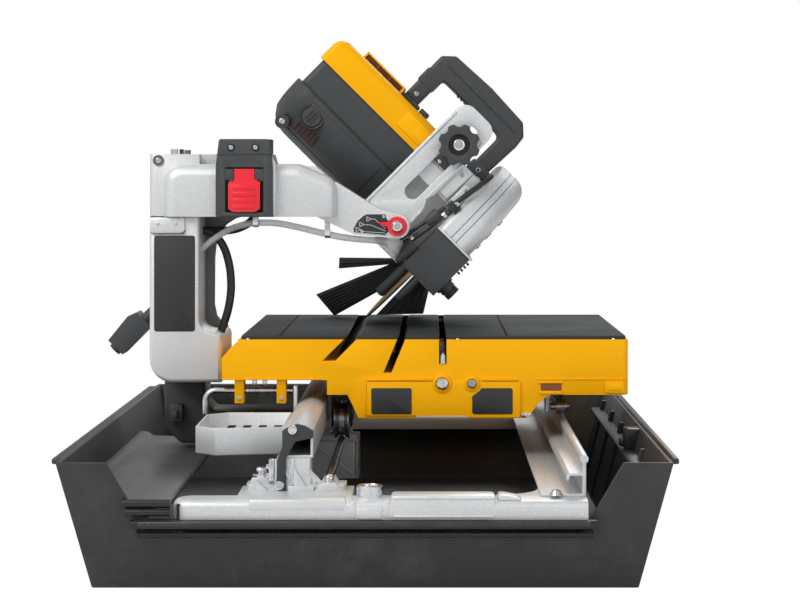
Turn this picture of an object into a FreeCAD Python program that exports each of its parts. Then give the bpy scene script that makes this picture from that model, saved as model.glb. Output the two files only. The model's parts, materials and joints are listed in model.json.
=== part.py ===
import FreeCAD, Part

import math
import os
import re

import Sketcher
from FreeCAD import Vector

# Wet tile saw, millimetres. X to the right, Y away from the operator, Z up.
# The origin is the middle of the water pan's underside.
# The saw head is drawn in its own frame: x across the blade, y along the cart's travel, z up
# when the blade stands upright. Its origin is the bevel pivot, and at rest it leans by bevel_rest.

sizes = {
    # water pan
    "pan_width": 660, "pan_depth": 864, "pan_side_height": 135, "pan_end_height": 75,
    "pan_wall": 4, "pan_floor": 5, "pan_side_draft": 34, "pan_end_draft": 26, "pan_lip": 9,
    "pan_notch_inset": 52, "pan_notch_slope": 34,
    # front and rear beams of the base frame
    "beam_left": -200, "beam_right": 232, "beam_width": 46, "beam_height": 20, "beam_wall": 4,
    "beam_inset": 8, "beam_seat": 0.3, "beam_end_round": 20, "beam_corner": 46,
    "bushing_x": 5, "bushing_radius": 11, "bushing_bore": 7, "bushing_height": 21,
    "bushing_flange": 5, "bushing_boss": 16,
    # rails
    "left_rail_x": -90, "left_rail_width": 33, "left_rail_bottom": 130, "left_rail_height": 37,
    "left_rail_crown": 7, "rail_wall": 3, "rail_inset": 74,
    "right_rail_x": 184, "right_rail_width": 48, "right_rail_height": 36, "right_web": 4,
    "bead_radius": 4.5, "track_height": 22, "track_width": 14, "rail_bolt_radius": 7,
    # supports of the left rail and the round guide rod
    "support_left": -129, "support_right": -22, "support_depth": 34, "support_plate": 6,
    "support_web": 12, "gusset_width": 26, "gusset_height": 30, "middle_depth": 46, "middle_bottom": 45,
    "rod_x": -40, "rod_z": 108, "rod_radius": 5, "rod_short": 14,
    # accessory tray
    "tray_left": -193, "tray_right": -93, "tray_front_y": -284, "tray_rear_y": -120,
    "tray_floor": 124, "tray_height": 30, "tray_wall": 3, "tray_corner": 24, "tray_slot": 9,
    # column, its foot and the arm
    "column_left": -273, "column_right": -212, "column_front_y": -40, "column_rear_y": 99,
    "column_bottom": 181, "column_top": 383, "foot_lip": -185,
    "foot_lip_top": 240, "corner_radius": 28, "foot_left": -262, "foot_front_y": 20,
    "foot_bottom": 100, "foot_height": 40, "arm_top": 459, "arm_right": -46, "arm_rear_y": 42,
    "arm_rib_right": -44, "arm_rib_left": -256, "arm_rib_top": 447, "arm_rib_depth": 10,
    "arm_web_y": -24, "arm_low_top": 445, "bulge_corner": 22, "bulge_round": 16,
    "lug_radius": 15, "lug_front_y": -36, "lug_rear_y": 10,
    # switch box on the arm
    "switch_left": -190, "switch_right": -121, "switch_top": 477, "switch_depth": 14,
    "paddle_width": 38, "paddle_height": 38, "paddle_thick": 9, "paddle_pin": 2,
    # bevel pivot
    "pivot_x": 28.6, "pivot_z": 371, "bevel_rest": 45, "pivot_bolt": 5, "bolt_head": 8,
    "pivot_fit": 0.05, "part_gap": 0.5,
    # bevel bracket
    "plate_left": -51, "plate_right": 5, "plate_top": 170, "plate_bottom": -10,
    "plate_front_y": 11, "plate_thick": 9, "slot_x": -17, "slot_low": 33, "slot_high": 153,
    "slot_half": 10, "toe_left": -9, "toe_right": 32, "toe_low": -34, "toe_high": -12,
    "toe_depth": 46,
    # plunge knob and its slider
    "knob_height": 124, "knob_radius": 26, "knob_depth": 24,
    "knob_scallop": 7, "slider_half": 9.6, "slider_length": 54,
    # motor
    "motor_y": 122, "motor_left": -210, "barrel_left": -188, "motor_right": -50,
    "motor_radius": 70, "motor_wall": 5, "band_low": 42, "band_high": 80, "band_left": -214,
    "cover_top": 119, "cover_left": -219, "cover_round": 16, "hood_left": -183,
    "hood_right": -112, "hood_height": 10, "cap_depth": 12, "brush_radius": 13,
    "brush_x": -173, "brush_height": 19, "armature_shaft": 6, "armature_radius": 32,
    "field_inner": 34, "fan_radius": 52,
    # gearbox and spindle
    "gearbox_left": -50, "gearbox_right": 38, "gearbox_top": 112, "gearbox_step": 62,
    "gearbox_front_y": 21, "gearbox_rear_y": 170, "gearbox_low": -22, "gearbox_wall": 6,
    "arbor_height": 13.5, "spindle_radius": 7.9375, "gear_module": 1.4, "pinion_teeth": 12,
    "gear_teeth": 36, "gear_width": 12, "gear_x": -4,
    # blade and flanges
    "blade_radius": 127, "blade_offset": 55, "blade_thick": 1.8, "rim_thick": 2.4,
    "rim_height": 8, "flange_radius": 27, "flange_thick": 7,
    # guard
    "guard_left": 38, "guard_right": 88, "guard_radius": 134, "guard_wall": 3,
    "guard_split": 34, "skirt_low": -30, "skirt_radius": 137, "skirt_right": 92,
    "port_y": 18, "port_height": -12, "port_radius": 10, "port_length": 10,
    # handle
    "grip_left": -114, "grip_right": 37, "grip_top": 208, "grip_bottom": 170,
    "grip_depth": 34, "leg_width": 22, "leg_low": 119, "right_leg_left": 12,
    "right_leg_right": 34,
    # cart
    "cart_left": -160, "cart_right": 304, "cart_front_y": -102, "cart_depth": 400,
    "cart_top": 238, "cart_low_left": 190, "cart_low_right": 172.5, "cart_wall": 8,
    "cart_deck": 10, "apron_depth": 14, "apron_low": 145, "step_left": -179, "step_top": 228,
    "pad_thick": 4.5, "slot_floor": 184, "panel_proud": 2.5,
    "cut_upright_x": 83.6, "cut_upright_low": 209, "cut_upright_width": 9,
    "cut_half_x": 36, "cut_half_low": 198.5, "cut_half_width": 9, "cut_half_angle": 22.5,
    "cut_bevel_x": -22, "cut_bevel_low": 212.5, "cut_bevel_width": 11, "cut_bevel_angle": 45,
    # rollers
    "left_roller_radius": 24, "left_roller_groove": 4.6, "left_roller_width": 18,
    "roller_front_y": -2, "roller_spacing": 200, "axle_radius": 4, "right_roller_radius": 9,
    "right_roller_width": 14, "running_gap": 0.05, "track_gap": 0.3,
    # cart lock pin
    "pin_radius": 3.5, "pin_z": 176, "pin_y": -84, "pin_left": -200, "pin_right": -95.5,
    "pin_drop": 28, "boss_width": 11,
    # tubes and leads
    "tube_radius": 4, "lead_radius": 5,
}

# places that follow from the sizes: the base frame keeps to the pan's end walls
derived = {
    "beam_front_y": "( beam_inset - pan_depth / 2 )",
    "rail_front_y": "( beam_front_y + rail_inset )",
    "rail_rear_y": "( - beam_front_y )",
    "rod_front_y": "rail_front_y",
    "rod_rear_y": "( rail_rear_y - rod_short )",
}

views = {"front": ("XZ_Plane", "-"), "top": ("XY_Plane", ""), "side": ("YZ_Plane", "")}
doc = FreeCAD.newDocument("TileSaw")
sheet = doc.addObject("Spreadsheet::Sheet", "Sizes")
parts = []


def fill_sheet():
    for row, (alias, number) in enumerate(sizes.items(), start=1):
        sheet.set("A%d" % row, str(number))
        sheet.setAlias("A%d" % row, alias)
    doc.recompute()


def named(text):
    """Spell an expression with every size read from the sheet."""
    return re.sub("[a-z_]+", spell_out, text)


def spell_out(match):
    word = match.group()
    if word in derived:
        return named(derived[word])
    return "Sizes." + word if word in sizes else word


def bind(thing, prop, text):
    thing.setExpression(prop, named(text))


def keep(thing, label):
    thing.Label = label
    parts.append(thing)
    return thing


def joined(label, pieces):
    """Several like solids under one name."""
    group = doc.addObject("Part::Compound", "Group")
    group.Links = pieces
    return keep(group, label)


# ---------------------------------------------------------------- sketches and features

def draw_polygon(sketch, points):
    first = sketch.GeometryCount
    count = len(points)
    for i in range(count):
        turn = [2 * math.pi * (i + k) / count for k in (0, 1)]
        ends = [Vector(50 * math.cos(a), 50 * math.sin(a), 0) for a in turn]
        sketch.addGeometry(Part.LineSegment(*ends), False)
    for i in range(count):
        nearby = first + (i + 1) % count
        sketch.addConstraint(Sketcher.Constraint("Coincident", first + i, 2, nearby, 1))
    for i, (across, along) in enumerate(points):
        for kind, text in (("DistanceX", across), ("DistanceY", along)):
            row = sketch.addConstraint(Sketcher.Constraint(kind, -1, 1, first + i, 1, 1.0))
            bind(sketch, "Constraints[%d]" % row, text)


def draw_circle(sketch, across, along, radius):
    row = sketch.addGeometry(Part.Circle(Vector(1, 1, 0), Vector(0, 0, 1), 5), False)
    for kind, text in (("DistanceX", across), ("DistanceY", along)):
        number = sketch.addConstraint(Sketcher.Constraint(kind, -1, 1, row, 3, 1.0))
        bind(sketch, "Constraints[%d]" % number, text)
    number = sketch.addConstraint(Sketcher.Constraint("Radius", row, 5.0))
    bind(sketch, "Constraints[%d]" % number, radius)


def draw(body, view, offset, loops):
    """One sketch on an origin plane of its body: points for a polygon, three texts for a circle."""
    role, sign = views[view]
    sketch = body.newObject("Sketcher::SketchObject", "Outline")
    plane = [f for f in body.Origin.OriginFeatures if f.Role == role][0]
    sketch.AttachmentSupport = [(plane, "")]
    sketch.MapMode = "FlatFace"
    bind(sketch, ".AttachmentOffset.Base.z", "%s ( %s )" % (sign, offset))
    for loop in loops:
        if isinstance(loop, tuple):
            draw_circle(sketch, *loop)
        else:
            draw_polygon(sketch, loop)
    return sketch


def box_loop(left, right, low, high):
    return [(left, low), (right, low), (right, high), (left, high)]


def pad(body, view, offset, length, *loops):
    """Material from the offset plane towards +Y, +Z or +X."""
    feature = body.newObject("PartDesign::Pad", "Pad")
    feature.Profile = draw(body, view, offset, loops)
    feature.Reversed = view == "front"
    bind(feature, "Length", length)
    return feature


def cut(body, view, offset, length, *loops):
    """A pocket from the offset plane towards +Y, +Z or +X."""
    feature = body.newObject("PartDesign::Pocket", "Pocket")
    feature.Profile = draw(body, view, offset, loops)
    feature.Reversed = view != "front"
    bind(feature, "Length", length)
    return feature


def turn(body, axis, points):
    """A turned shape. Points are (along, radius) on x and y, and (radius, along) on z."""
    view = {"x": "front", "y": "side", "z": "front"}[axis]
    feature = body.newObject("PartDesign::Revolution", "Turned")
    sketch = draw(body, view, "0", [points])
    feature.Profile = sketch
    feature.ReferenceAxis = (sketch, ["V_Axis" if axis == "z" else "H_Axis"])
    return feature


def new_body(label):
    return keep(loose_body(), label)


def loose_body():
    return doc.addObject("PartDesign::Body", "Body")


def soften(body, radius, wanted):
    """Round the edges of the body's tip whose middle passes the test."""
    doc.recompute()
    tip = body.Tip
    names = []
    for number, edge in enumerate(tip.Shape.Edges, start=1):
        middle = edge.valueAt((edge.FirstParameter + edge.LastParameter) / 2)
        if wanted(edge, middle):
            names.append("Edge%d" % number)
    if not names:
        raise ValueError("no edge to round on " + body.Label)
    fillet = body.newObject("PartDesign::Fillet", "Fillet")
    fillet.Base = (tip, names)
    bind(fillet, "Radius", radius)
    return fillet


def along(edge, direction):
    """True for a straight edge that runs in the given direction."""
    if edge.Curve.TypeId != "Part::GeomLine":
        return False
    return abs(edge.tangentAt(edge.FirstParameter).dot(Vector(*direction))) > 0.999


def value(alias):
    return float(sheet.get(alias))


def place(thing, x="0", y="0", z="0"):
    bind(thing, ".Placement.Base.x", x)
    bind(thing, ".Placement.Base.y", y)
    bind(thing, ".Placement.Base.z", z)
    return thing


def lean(thing, x="0", y="0", z="0"):
    """Place a piece of the saw head: its own offset in the head's frame, then the bevel."""
    thing.Placement = FreeCAD.Placement(Vector(0, 0, 0), FreeCAD.Rotation(Vector(0, 1, 0), 45))
    bind(thing, ".Placement.Rotation.Angle", "bevel_rest")
    side = "pivot_x + ( %s ) * cos( bevel_rest ) + ( %s ) * sin( bevel_rest )"
    rise = "pivot_z - ( %s ) * sin( bevel_rest ) + ( %s ) * cos( bevel_rest )"
    return place(thing, side % (x, z), y, rise % (x, z))


def route(points):
    """Straight runs joined by tangent arcs, each as large as its two runs allow."""
    edges = []
    start = points[0]
    for before, corner, after in zip(points, points[1:], points[2:]):
        into = (corner - before).normalize()
        out = (after - corner).normalize()
        reach = 0.45 * min(before.distanceToPoint(corner), corner.distanceToPoint(after))
        half = into.getAngle(out) / 2
        radius = reach / math.tan(half)
        inwards = (out - into).normalize()
        entry = corner - into * reach
        leave = corner + out * reach
        middle = corner + inwards * (radius / math.cos(half) - radius)
        edges.append(Part.LineSegment(start, entry).toShape())
        edges.append(Part.Arc(entry, middle, leave).toShape())
        start = leave
    edges.append(Part.LineSegment(start, points[-1]).toShape())
    return Part.Wire(edges)


def swept(points, radius):
    path = route(points)
    heading = path.Edges[0].tangentAt(path.Edges[0].FirstParameter)
    ring = Part.Wire([Part.makeCircle(radius, points[0], heading)])
    shape = path.makePipeShell([ring], True, True)
    full = math.pi * radius ** 2 * path.Length
    print("tube %.1f long, %.3f of its section times its length" % (path.Length, shape.Volume / full))
    return shape


def tube(label, points, radius):
    piece = doc.addObject("Part::Feature", "Tube")
    piece.Shape = swept(points, radius)
    return keep(piece, label)


# ---------------------------------------------------------------- base: pan, beams and rails

def water_pan():
    pan = new_body("water_pan")
    rim_x = "( pan_width / 2 - pan_lip )"
    rim_y = "( pan_depth / 2 - pan_lip )"
    floor_x = "( %s - pan_side_draft )" % rim_x
    floor_y = "( %s - pan_end_draft )" % rim_y
    outside = pan.newObject("PartDesign::AdditiveLoft", "Outside")
    outside.Profile = draw(pan, "top", "0", [centred(floor_x, floor_y, "0")])
    outside.Sections = [draw(pan, "top", "pan_side_height", [centred(rim_x, rim_y, "0")])]
    inside = pan.newObject("PartDesign::SubtractiveLoft", "Inside")
    inside.Profile = draw(pan, "top", "pan_floor", [centred(floor_x, floor_y, "- pan_wall")])
    inside.Sections = [draw(pan, "top", "pan_side_height", [centred(rim_x, rim_y, "- pan_wall")])]
    notch_x = "( %s - pan_notch_inset )" % rim_x
    notch_low = "( %s - pan_notch_slope )" % notch_x
    notch = [("- " + notch_low, "pan_end_height"), (notch_low, "pan_end_height"),
             (notch_x, "pan_side_height + 1"), ("- " + notch_x, "pan_side_height + 1")]
    cut(pan, "front", "- pan_depth", "2 * pan_depth", notch)
    for sign in ("-", ""):
        edge = sorted_pair(sign, rim_x, "pan_width / 2")
        pad(pan, "top", "pan_side_height - 6", "6", box_loop(edge[0], edge[1], "- pan_depth / 2 + 40",
                                                             "pan_depth / 2 - 40"))
        edge = sorted_pair(sign, rim_y, "pan_depth / 2")
        pad(pan, "top", "pan_end_height - 6", "6",
            box_loop("- %s" % notch_low, notch_low, edge[0], edge[1]))
    return pan


def centred(half_x, half_y, grow):
    x = "( %s + ( %s ) )" % (half_x, grow)
    y = "( %s + ( %s ) )" % (half_y, grow)
    return [("- " + x, "- " + y), (x, "- " + y), (x, y), ("- " + x, y)]


def sorted_pair(sign, near, far):
    near_text = "%s ( %s )" % (sign, near)
    far_text = "%s ( %s )" % (sign, far)
    return (far_text, near_text) if sign else (near_text, far_text)


def cross_beam(label, front_y):
    """A cast beam that lies across the pan's low end wall, hollow underneath."""
    beam = new_body(label)
    low = "( pan_end_height + beam_seat )"
    high = "( %s + beam_height )" % low
    pad(beam, "front", front_y, "beam_width", box_loop("beam_left", "beam_right", low, high))
    soften(beam, "beam_end_round", lambda e, m: along(e, (0, 0, 1)) and m.x < value("beam_left") + 1)
    soften(beam, "7", lambda e, m: m.z > value("pan_end_height") + 10 and m.x < value("beam_right") - 1)
    cut(beam, "top", low + " - 1", "beam_height - beam_wall + 1",
        box_loop("beam_left + beam_wall", "beam_right - beam_wall",
                 "( %s ) + beam_wall" % front_y, "( %s ) + beam_width - beam_wall" % front_y))
    return beam


def front_beam():
    beam = cross_beam("front_beam", "beam_front_y")
    low = "( pan_end_height + beam_seat )"
    middle = "beam_front_y + beam_width / 2"
    pad(beam, "top", low, "bushing_height", ("bushing_x", middle, "bushing_boss"))
    cut(beam, "top", low + " - 1", "beam_height + 4", ("bushing_x", middle, "bushing_radius - 2"))
    pad(beam, "top", low + " + beam_height - 6", "6 + beam_seat", box_loop(
        "support_left - 6", "support_right + 8", "beam_front_y + 8", "rod_front_y + support_depth"))
    rear = "( beam_front_y + beam_width )"
    pad(beam, "top", low, "beam_height", box_loop(
        "right_rail_x - beam_corner", "beam_right - 2", rear + " - beam_wall", rear + " + beam_corner"))
    cut(beam, "top", low + " - 1", "beam_height + 2", (
        "right_rail_x - beam_corner", rear + " + beam_corner", "beam_corner"))
    return beam


def beam_bushing():
    bushing = new_body("beam_bushing")
    low = "( pan_end_height + beam_seat + 1 )"
    seat = "( pan_end_height + beam_seat + bushing_height )"
    stem = "bushing_radius - 2 - pivot_fit"
    turn(bushing, "z", [("bushing_bore", low), (stem, low), (stem, seat),
                        ("bushing_radius", seat), ("bushing_radius", seat + " + bushing_flange"),
                        ("bushing_bore", seat + " + bushing_flange")])
    return place(bushing, "bushing_x", "beam_front_y + beam_width / 2")


def rail_support(front_y, low):
    """Web under the left rail with a gusset and a boss for the round guide rod."""
    support = loose_body()
    floor = "( %s )" % low
    pad(support, "top", floor, "support_plate", box_loop(
        "support_left", "support_right", front_y, front_y + " + support_depth"))
    pad(support, "front", front_y, "support_depth", box_loop(
        "left_rail_x - support_web + 6", "left_rail_x + left_rail_width - 3",
        floor + " + support_plate", "left_rail_bottom"))
    plate = floor + " + support_plate"
    right = "left_rail_x + left_rail_width - 3"
    pad(support, "front", front_y + " + 4", "6", [
        (right, plate), (right + " + gusset_width - 12", plate),
        (right, plate + " + gusset_height / 2")])
    pad(support, "front", front_y + " + 4", "support_depth - 8", [
        ("rod_x - 10", plate), ("rod_x + 10", plate), ("rod_x + 6", "rod_z"),
        ("rod_x - 6", "rod_z")])
    cut(support, "front", front_y + " - 1", "support_depth + 2", ("rod_x", "rod_z", "rod_radius"))
    soften(support, "5", lambda e, m: along(e, (0, 0, 1)) and m.z < value_of_floor(support) + 5)
    return support


def rail_supports():
    top = "pan_end_height + beam_seat + beam_height"
    front = rail_support("rod_front_y", top + " + beam_seat")
    rear = rail_support("rod_rear_y - support_depth", top)
    middle = rail_support("column_rear_y", top)
    pad(middle, "front", "column_rear_y", "middle_depth", box_loop(
        "support_left", "support_right", "middle_bottom", top + " + 1"))
    soften(middle, "9", lambda e, m: along(e, (0, 0, 1)) and m.x > value("support_right") - 1
           and m.z < value("pan_end_height"))
    return joined("rail_supports", [front, rear, middle])


def value_of_floor(support):
    return support.Tip.Shape.BoundBox.ZMin


def left_rail():
    rail = new_body("left_rail")
    left = "left_rail_x"
    right = "( left_rail_x + left_rail_width )"
    top = "( left_rail_bottom + left_rail_height )"
    crown = [("%s" % left, "left_rail_bottom"), (right, "left_rail_bottom"),
             (right, top + " - left_rail_crown"),
             (left + " + left_rail_width * 0.75", top + " - left_rail_crown * 0.25"),
             (left + " + left_rail_width * 0.5", top),
             (left + " + left_rail_width * 0.25", top + " - left_rail_crown * 0.25"),
             (left, top + " - left_rail_crown")]
    pad(rail, "front", "rail_front_y", "rail_rear_y - rail_front_y", crown)
    cut(rail, "front", "rail_front_y - 1", "rail_rear_y - rail_front_y + 2", box_loop(
        left + " + rail_wall", right + " - rail_wall", "left_rail_bottom + rail_wall",
        top + " - left_rail_crown - rail_wall"))
    return rail


def rail_end_bracket():
    bracket = new_body("rail_end_bracket")
    left = "left_rail_x"
    right = "left_rail_x + left_rail_width"
    top = "left_rail_bottom + left_rail_height"
    foot = "pan_end_height + beam_height + 2 * beam_seat"
    pad(bracket, "front", "rail_front_y - 5", "5", [
        (left, top + " - left_rail_crown"), (left, "left_rail_bottom + 12"),
        (left + " - 5", "left_rail_bottom"), (left + " - 5", foot),
        (left + " + 4", foot), (left + " + 4", "left_rail_bottom"),
        (left + " + 14", "left_rail_bottom + 18"), (right, "left_rail_bottom + 22"),
        (right, top + " - left_rail_crown"), (left + " + left_rail_width * 0.75", top + " - 2"),
        (left + " + left_rail_width * 0.5", top), (left + " + left_rail_width * 0.25", top + " - 2")])
    return bracket


def guide_rod():
    rod = new_body("guide_rod")
    turn(rod, "y", [("rod_front_y", "0"), ("rod_rear_y", "0"), ("rod_rear_y", "rod_radius - 0.05"),
                    ("rod_front_y", "rod_radius - 0.05")])
    return place(rod, "rod_x", "0", "rod_z")


def right_rail():
    rail = new_body("right_rail")
    low = "( pan_end_height + beam_seat + beam_height )"
    right = "( right_rail_x + right_rail_width )"
    top = "( %s + right_rail_height )" % low
    track = "( %s + track_height )" % low
    pad(rail, "front", "rail_front_y - 46", "rail_rear_y - rail_front_y + 46", [
        ("right_rail_x", low), (right, low), (right, top),
        (right + " - right_web", top), (right + " - right_web", track + " + rail_wall"),
        (right + " - right_web - track_width", track + " + rail_wall"),
        (right + " - right_web - track_width - rail_wall", track + " - 1"),
        (right + " - right_web - track_width - rail_wall", track + " - 5"),
        (right + " - right_web - track_width", track + " - 5"),
        (right + " - right_web - track_width + 1", track),
        (right + " - right_web", track), (right + " - right_web", low + " + rail_wall"),
        ("right_rail_x", low + " + rail_wall")])
    pad(rail, "front", "rail_front_y - 46", "rail_rear_y - rail_front_y + 46",
        (right + " - right_web / 2", top + " + bead_radius - 1", "bead_radius"))
    return rail


def bead_top():
    return "( pan_end_height + beam_seat + beam_height + right_rail_height + 2 * bead_radius - 1 )"


def frame_bolts():
    """Button heads on the right rail's floor and socket heads on top of the arm."""
    low = "pan_end_height + beam_seat + beam_height + rail_wall"
    heads = []
    for y in ("beam_front_y + beam_width / 2", "- beam_front_y - beam_width / 2"):
        head = doc.addObject("Part::Cone", "Head")
        bind(head, "Radius1", "rail_bolt_radius")
        bind(head, "Radius2", "rail_bolt_radius * 0.6")
        bind(head, "Height", "rail_bolt_radius * 0.7")
        heads.append(place(head, "right_rail_x + 16", y, low))
    for y in ("column_front_y + 30", "column_rear_y - 30"):
        head = doc.addObject("Part::Cylinder", "Head")
        bind(head, "Radius", "bolt_head")
        bind(head, "Height", "bolt_head * 0.8")
        heads.append(place(head, "( column_left + column_right ) / 2", y, "arm_top"))
    return joined("frame_bolts", heads)


def accessory_tray():
    tray = new_body("accessory_tray")
    outline = [("tray_left + tray_corner", "tray_front_y"), ("tray_right", "tray_front_y + 14"),
               ("tray_right", "tray_rear_y"), ("tray_left + tray_corner", "tray_rear_y"),
               ("tray_left", "tray_rear_y - tray_corner"),
               ("tray_left", "tray_front_y + tray_corner")]
    pad(tray, "top", "tray_floor", "tray_height", outline)
    wall = "tray_wall"
    inner = [("tray_left + tray_corner + 1", "tray_front_y + " + wall),
             ("tray_right - " + wall, "tray_front_y + 14 + " + wall),
             ("tray_right - " + wall, "tray_rear_y - " + wall),
             ("tray_left + tray_corner + 1", "tray_rear_y - " + wall),
             ("tray_left + " + wall, "tray_rear_y - tray_corner - 1"),
             ("tray_left + " + wall, "tray_front_y + tray_corner + 1")]
    cut(tray, "top", "tray_floor + tray_wall", "tray_height", inner)
    pitch = "( tray_slot * 2 )"
    slots = [box_loop("tray_left + 22 + %s * %d" % (pitch, i), "tray_left + 22 + %s * %d + tray_slot"
                      % (pitch, i), "tray_front_y + 40", "tray_rear_y - 40") for i in range(4)]
    cut(tray, "top", "tray_floor - 1", "tray_wall + 2", *slots)
    pad(tray, "top", "tray_floor", "tray_height - 4", box_loop(
        "tray_right - 0.5", "left_rail_x", "tray_front_y + 40", "tray_rear_y - 30"))
    return tray


# ---------------------------------------------------------------- column, foot and arm

def column_foot():
    foot = new_body("column_foot")
    depth = "column_rear_y - foot_front_y"
    pad(foot, "front", "foot_front_y", depth, [
        ("foot_left", "column_bottom"), ("foot_left", "foot_bottom + 20"),
        ("foot_left + 20", "foot_bottom"), ("left_rail_x", "foot_bottom"),
        ("left_rail_x", "foot_bottom + foot_height"),
        ("column_right + 10", "foot_bottom + foot_height"),
        ("column_right", "foot_bottom + foot_height + 10"), ("column_right", "column_bottom")])
    return foot


def column():
    post = new_body("column")
    depth = "column_rear_y - column_front_y"
    pad(post, "front", "column_front_y", depth, [
        ("column_left", "column_bottom"), ("foot_lip", "column_bottom"),
        ("foot_lip", "foot_lip_top"), ("column_right", "foot_lip_top + 8"),
        ("column_right", "column_top"), ("column_left", "column_top")])
    soften(post, "corner_radius", lambda e, m: along(e, (0, 1, 0))
           and m.x < value("column_left") + 1 and m.z < value("column_bottom") + 1)
    soften(post, "12", lambda e, m: along(e, (0, 1, 0))
           and m.x > value("column_right") - 1 and value("foot_lip_top") < m.z < value("column_top") - 5)
    soften(post, "5", lambda e, m: along(e, (0, 0, 1)) and m.x < value("column_right") + 1)
    return post


def arm():
    casting = new_body("arm")
    front = "( column_front_y - arm_rib_depth )"
    pad(casting, "front", front, "arm_web_y - column_front_y + arm_rib_depth + 1", [
        ("arm_rib_left", "column_top"), ("arm_rib_right", "column_top"),
        ("arm_rib_right", "arm_rib_top - 20"), ("arm_rib_right - 46", "arm_rib_top"),
        ("arm_rib_left", "arm_rib_top")])
    soften(casting, "bulge_corner", lambda e, m: along(e, (0, 1, 0)) and m.z > value("column_top") + 9)
    soften(casting, "bulge_round", lambda e, m: m.y < value("column_front_y") - 1
           and m.z > value("column_top") + 1)
    pad(casting, "front", "arm_web_y", "arm_rear_y - arm_web_y", [
        ("column_left + 8", "column_top"), ("arm_right", "column_top"),
        ("arm_right", "arm_low_top - 22"), ("arm_right - 26", "arm_low_top"),
        ("switch_right", "arm_low_top"), ("switch_right - 4", "arm_top"),
        ("column_left + 8", "arm_top")])
    pad(casting, "front", "column_front_y", "column_rear_y - column_front_y", box_loop(
        "column_left", "column_right", "column_top", "arm_top"))
    pad(casting, "front", "lug_front_y", "lug_rear_y - lug_front_y", [
        ("arm_right - 24", "column_top"), ("pivot_x - 52", "pivot_z - 10"),
        ("pivot_x", "pivot_z - lug_radius"), ("pivot_x", "pivot_z + lug_radius"),
        ("pivot_x - 24", "pivot_z + 22"), ("arm_right", "arm_top - 34"),
        ("arm_right - 24", "arm_top - 34")])
    pad(casting, "front", "lug_front_y", "lug_rear_y - lug_front_y",
        ("pivot_x", "pivot_z", "lug_radius"))
    cut(casting, "front", "lug_front_y - 1", "lug_rear_y - lug_front_y + 2",
        ("pivot_x", "pivot_z", "pivot_bolt + pivot_fit"))
    soften(casting, "8", lambda e, m: along(e, (0, 0, 1)) and m.x < value("column_left") + 1)
    return casting


def switch_box():
    box = new_body("switch_box")
    front = "( column_front_y - arm_rib_depth - switch_depth )"
    pad(box, "front", front, "switch_depth", [
        ("switch_left", "column_top"), ("switch_right", "column_top"),
        ("switch_right", "switch_top - 34"), ("switch_right - 4", "switch_top"),
        ("switch_left + 4", "switch_top"), ("switch_left", "switch_top - 34")])
    soften(box, "3", lambda e, m: along(e, (0, 1, 0)) and m.z > value("switch_top") - 1)
    pad(box, "front", front + " + switch_depth", "arm_rib_depth + 40", box_loop(
        "switch_left + 4", "switch_right - 4", "arm_top", "switch_top"))
    cut(box, "front", front + " - 1", "switch_depth - 3", box_loop(
        "( switch_left + switch_right - paddle_width ) / 2 - 4",
        "( switch_left + switch_right + paddle_width ) / 2 + 4",
        "column_top + 4", "column_top + paddle_height + 22"))
    return box


def switch_paddle():
    """Red paddle that hangs from two stub pins in the switch box."""
    paddle = new_body("switch_paddle")
    pivot = "( column_top + paddle_height + 16 )"
    middle = "( switch_left + switch_right ) / 2"
    front = "( column_front_y - arm_rib_depth - switch_depth )"
    half = "paddle_width / 2"
    pad(paddle, "front", front + " + 1", "paddle_thick - 2", [
        (middle + " - 12", pivot + " + 4"), (middle + " - 12", pivot + " - 8"),
        (middle + " - " + half, pivot + " - 12"), (middle + " - " + half, "column_top + 10"),
        (middle + " - " + half + " + 6", "column_top + 6"),
        (middle + " + " + half + " - 6", "column_top + 6"), (middle + " + " + half, "column_top + 10"),
        (middle + " + " + half, pivot + " - 12"), (middle + " + 12", pivot + " - 8"),
        (middle + " + 12", pivot + " + 4")])
    pad(paddle, "front", front + " - 4", "5", [
        (middle + " - " + half, pivot + " - 14"), (middle + " - " + half, "column_top + 10"),
        (middle + " - " + half + " + 6", "column_top + 6"),
        (middle + " + " + half + " - 6", "column_top + 6"), (middle + " + " + half, "column_top + 10"),
        (middle + " + " + half, pivot + " - 14")])
    pad(paddle, "side", middle + " - " + half + " - 3.5", "paddle_width + 7",
        (front + " + 4", pivot + " - 1", "paddle_pin"))
    return paddle


def water_tube():
    """Clear water tube from the column along the underside of the arm to the lug."""
    top = value("column_top")
    y = value("column_front_y") + 20
    points = [(-214, y, top - 42), (-196, y, top - 27), (-174, y + 1, top - 13.5),
              (-150, y + 1, top - 8), (-122, y, top - 7.5), (-94, y, top - 13),
              (-66, y, top - 20), (-38, y, top - 26), (-10, y, top - 28.8), (16, y, top - 30.4)]
    return tube("water_tube", [Vector(*p) for p in points], value("tube_radius"))


def motor_lead():
    """Black leads from the arm to the column, and from the column down into its foot."""
    top = value("column_top")
    routes = [
        [(-148, 24, top + 2), (-156, 24, top - 9), (-172, 25, top - 17), (-192, 25, top - 19.5),
         (-214, 24, top - 18)],
        [(-214, 4, top - 17), (-198, 4, top - 22), (-186, 5, top - 38), (-179, 5, top - 62),
         (-177, 5, top - 90), (-181, 4, top - 117), (-190, 4, top - 143)],
    ]
    leads = []
    for points in routes:
        lead = doc.addObject("Part::Feature", "Lead")
        lead.Shape = swept([Vector(*p) for p in points], value("lead_radius"))
        leads.append(lead)
    return joined("motor_lead", leads)


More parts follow.
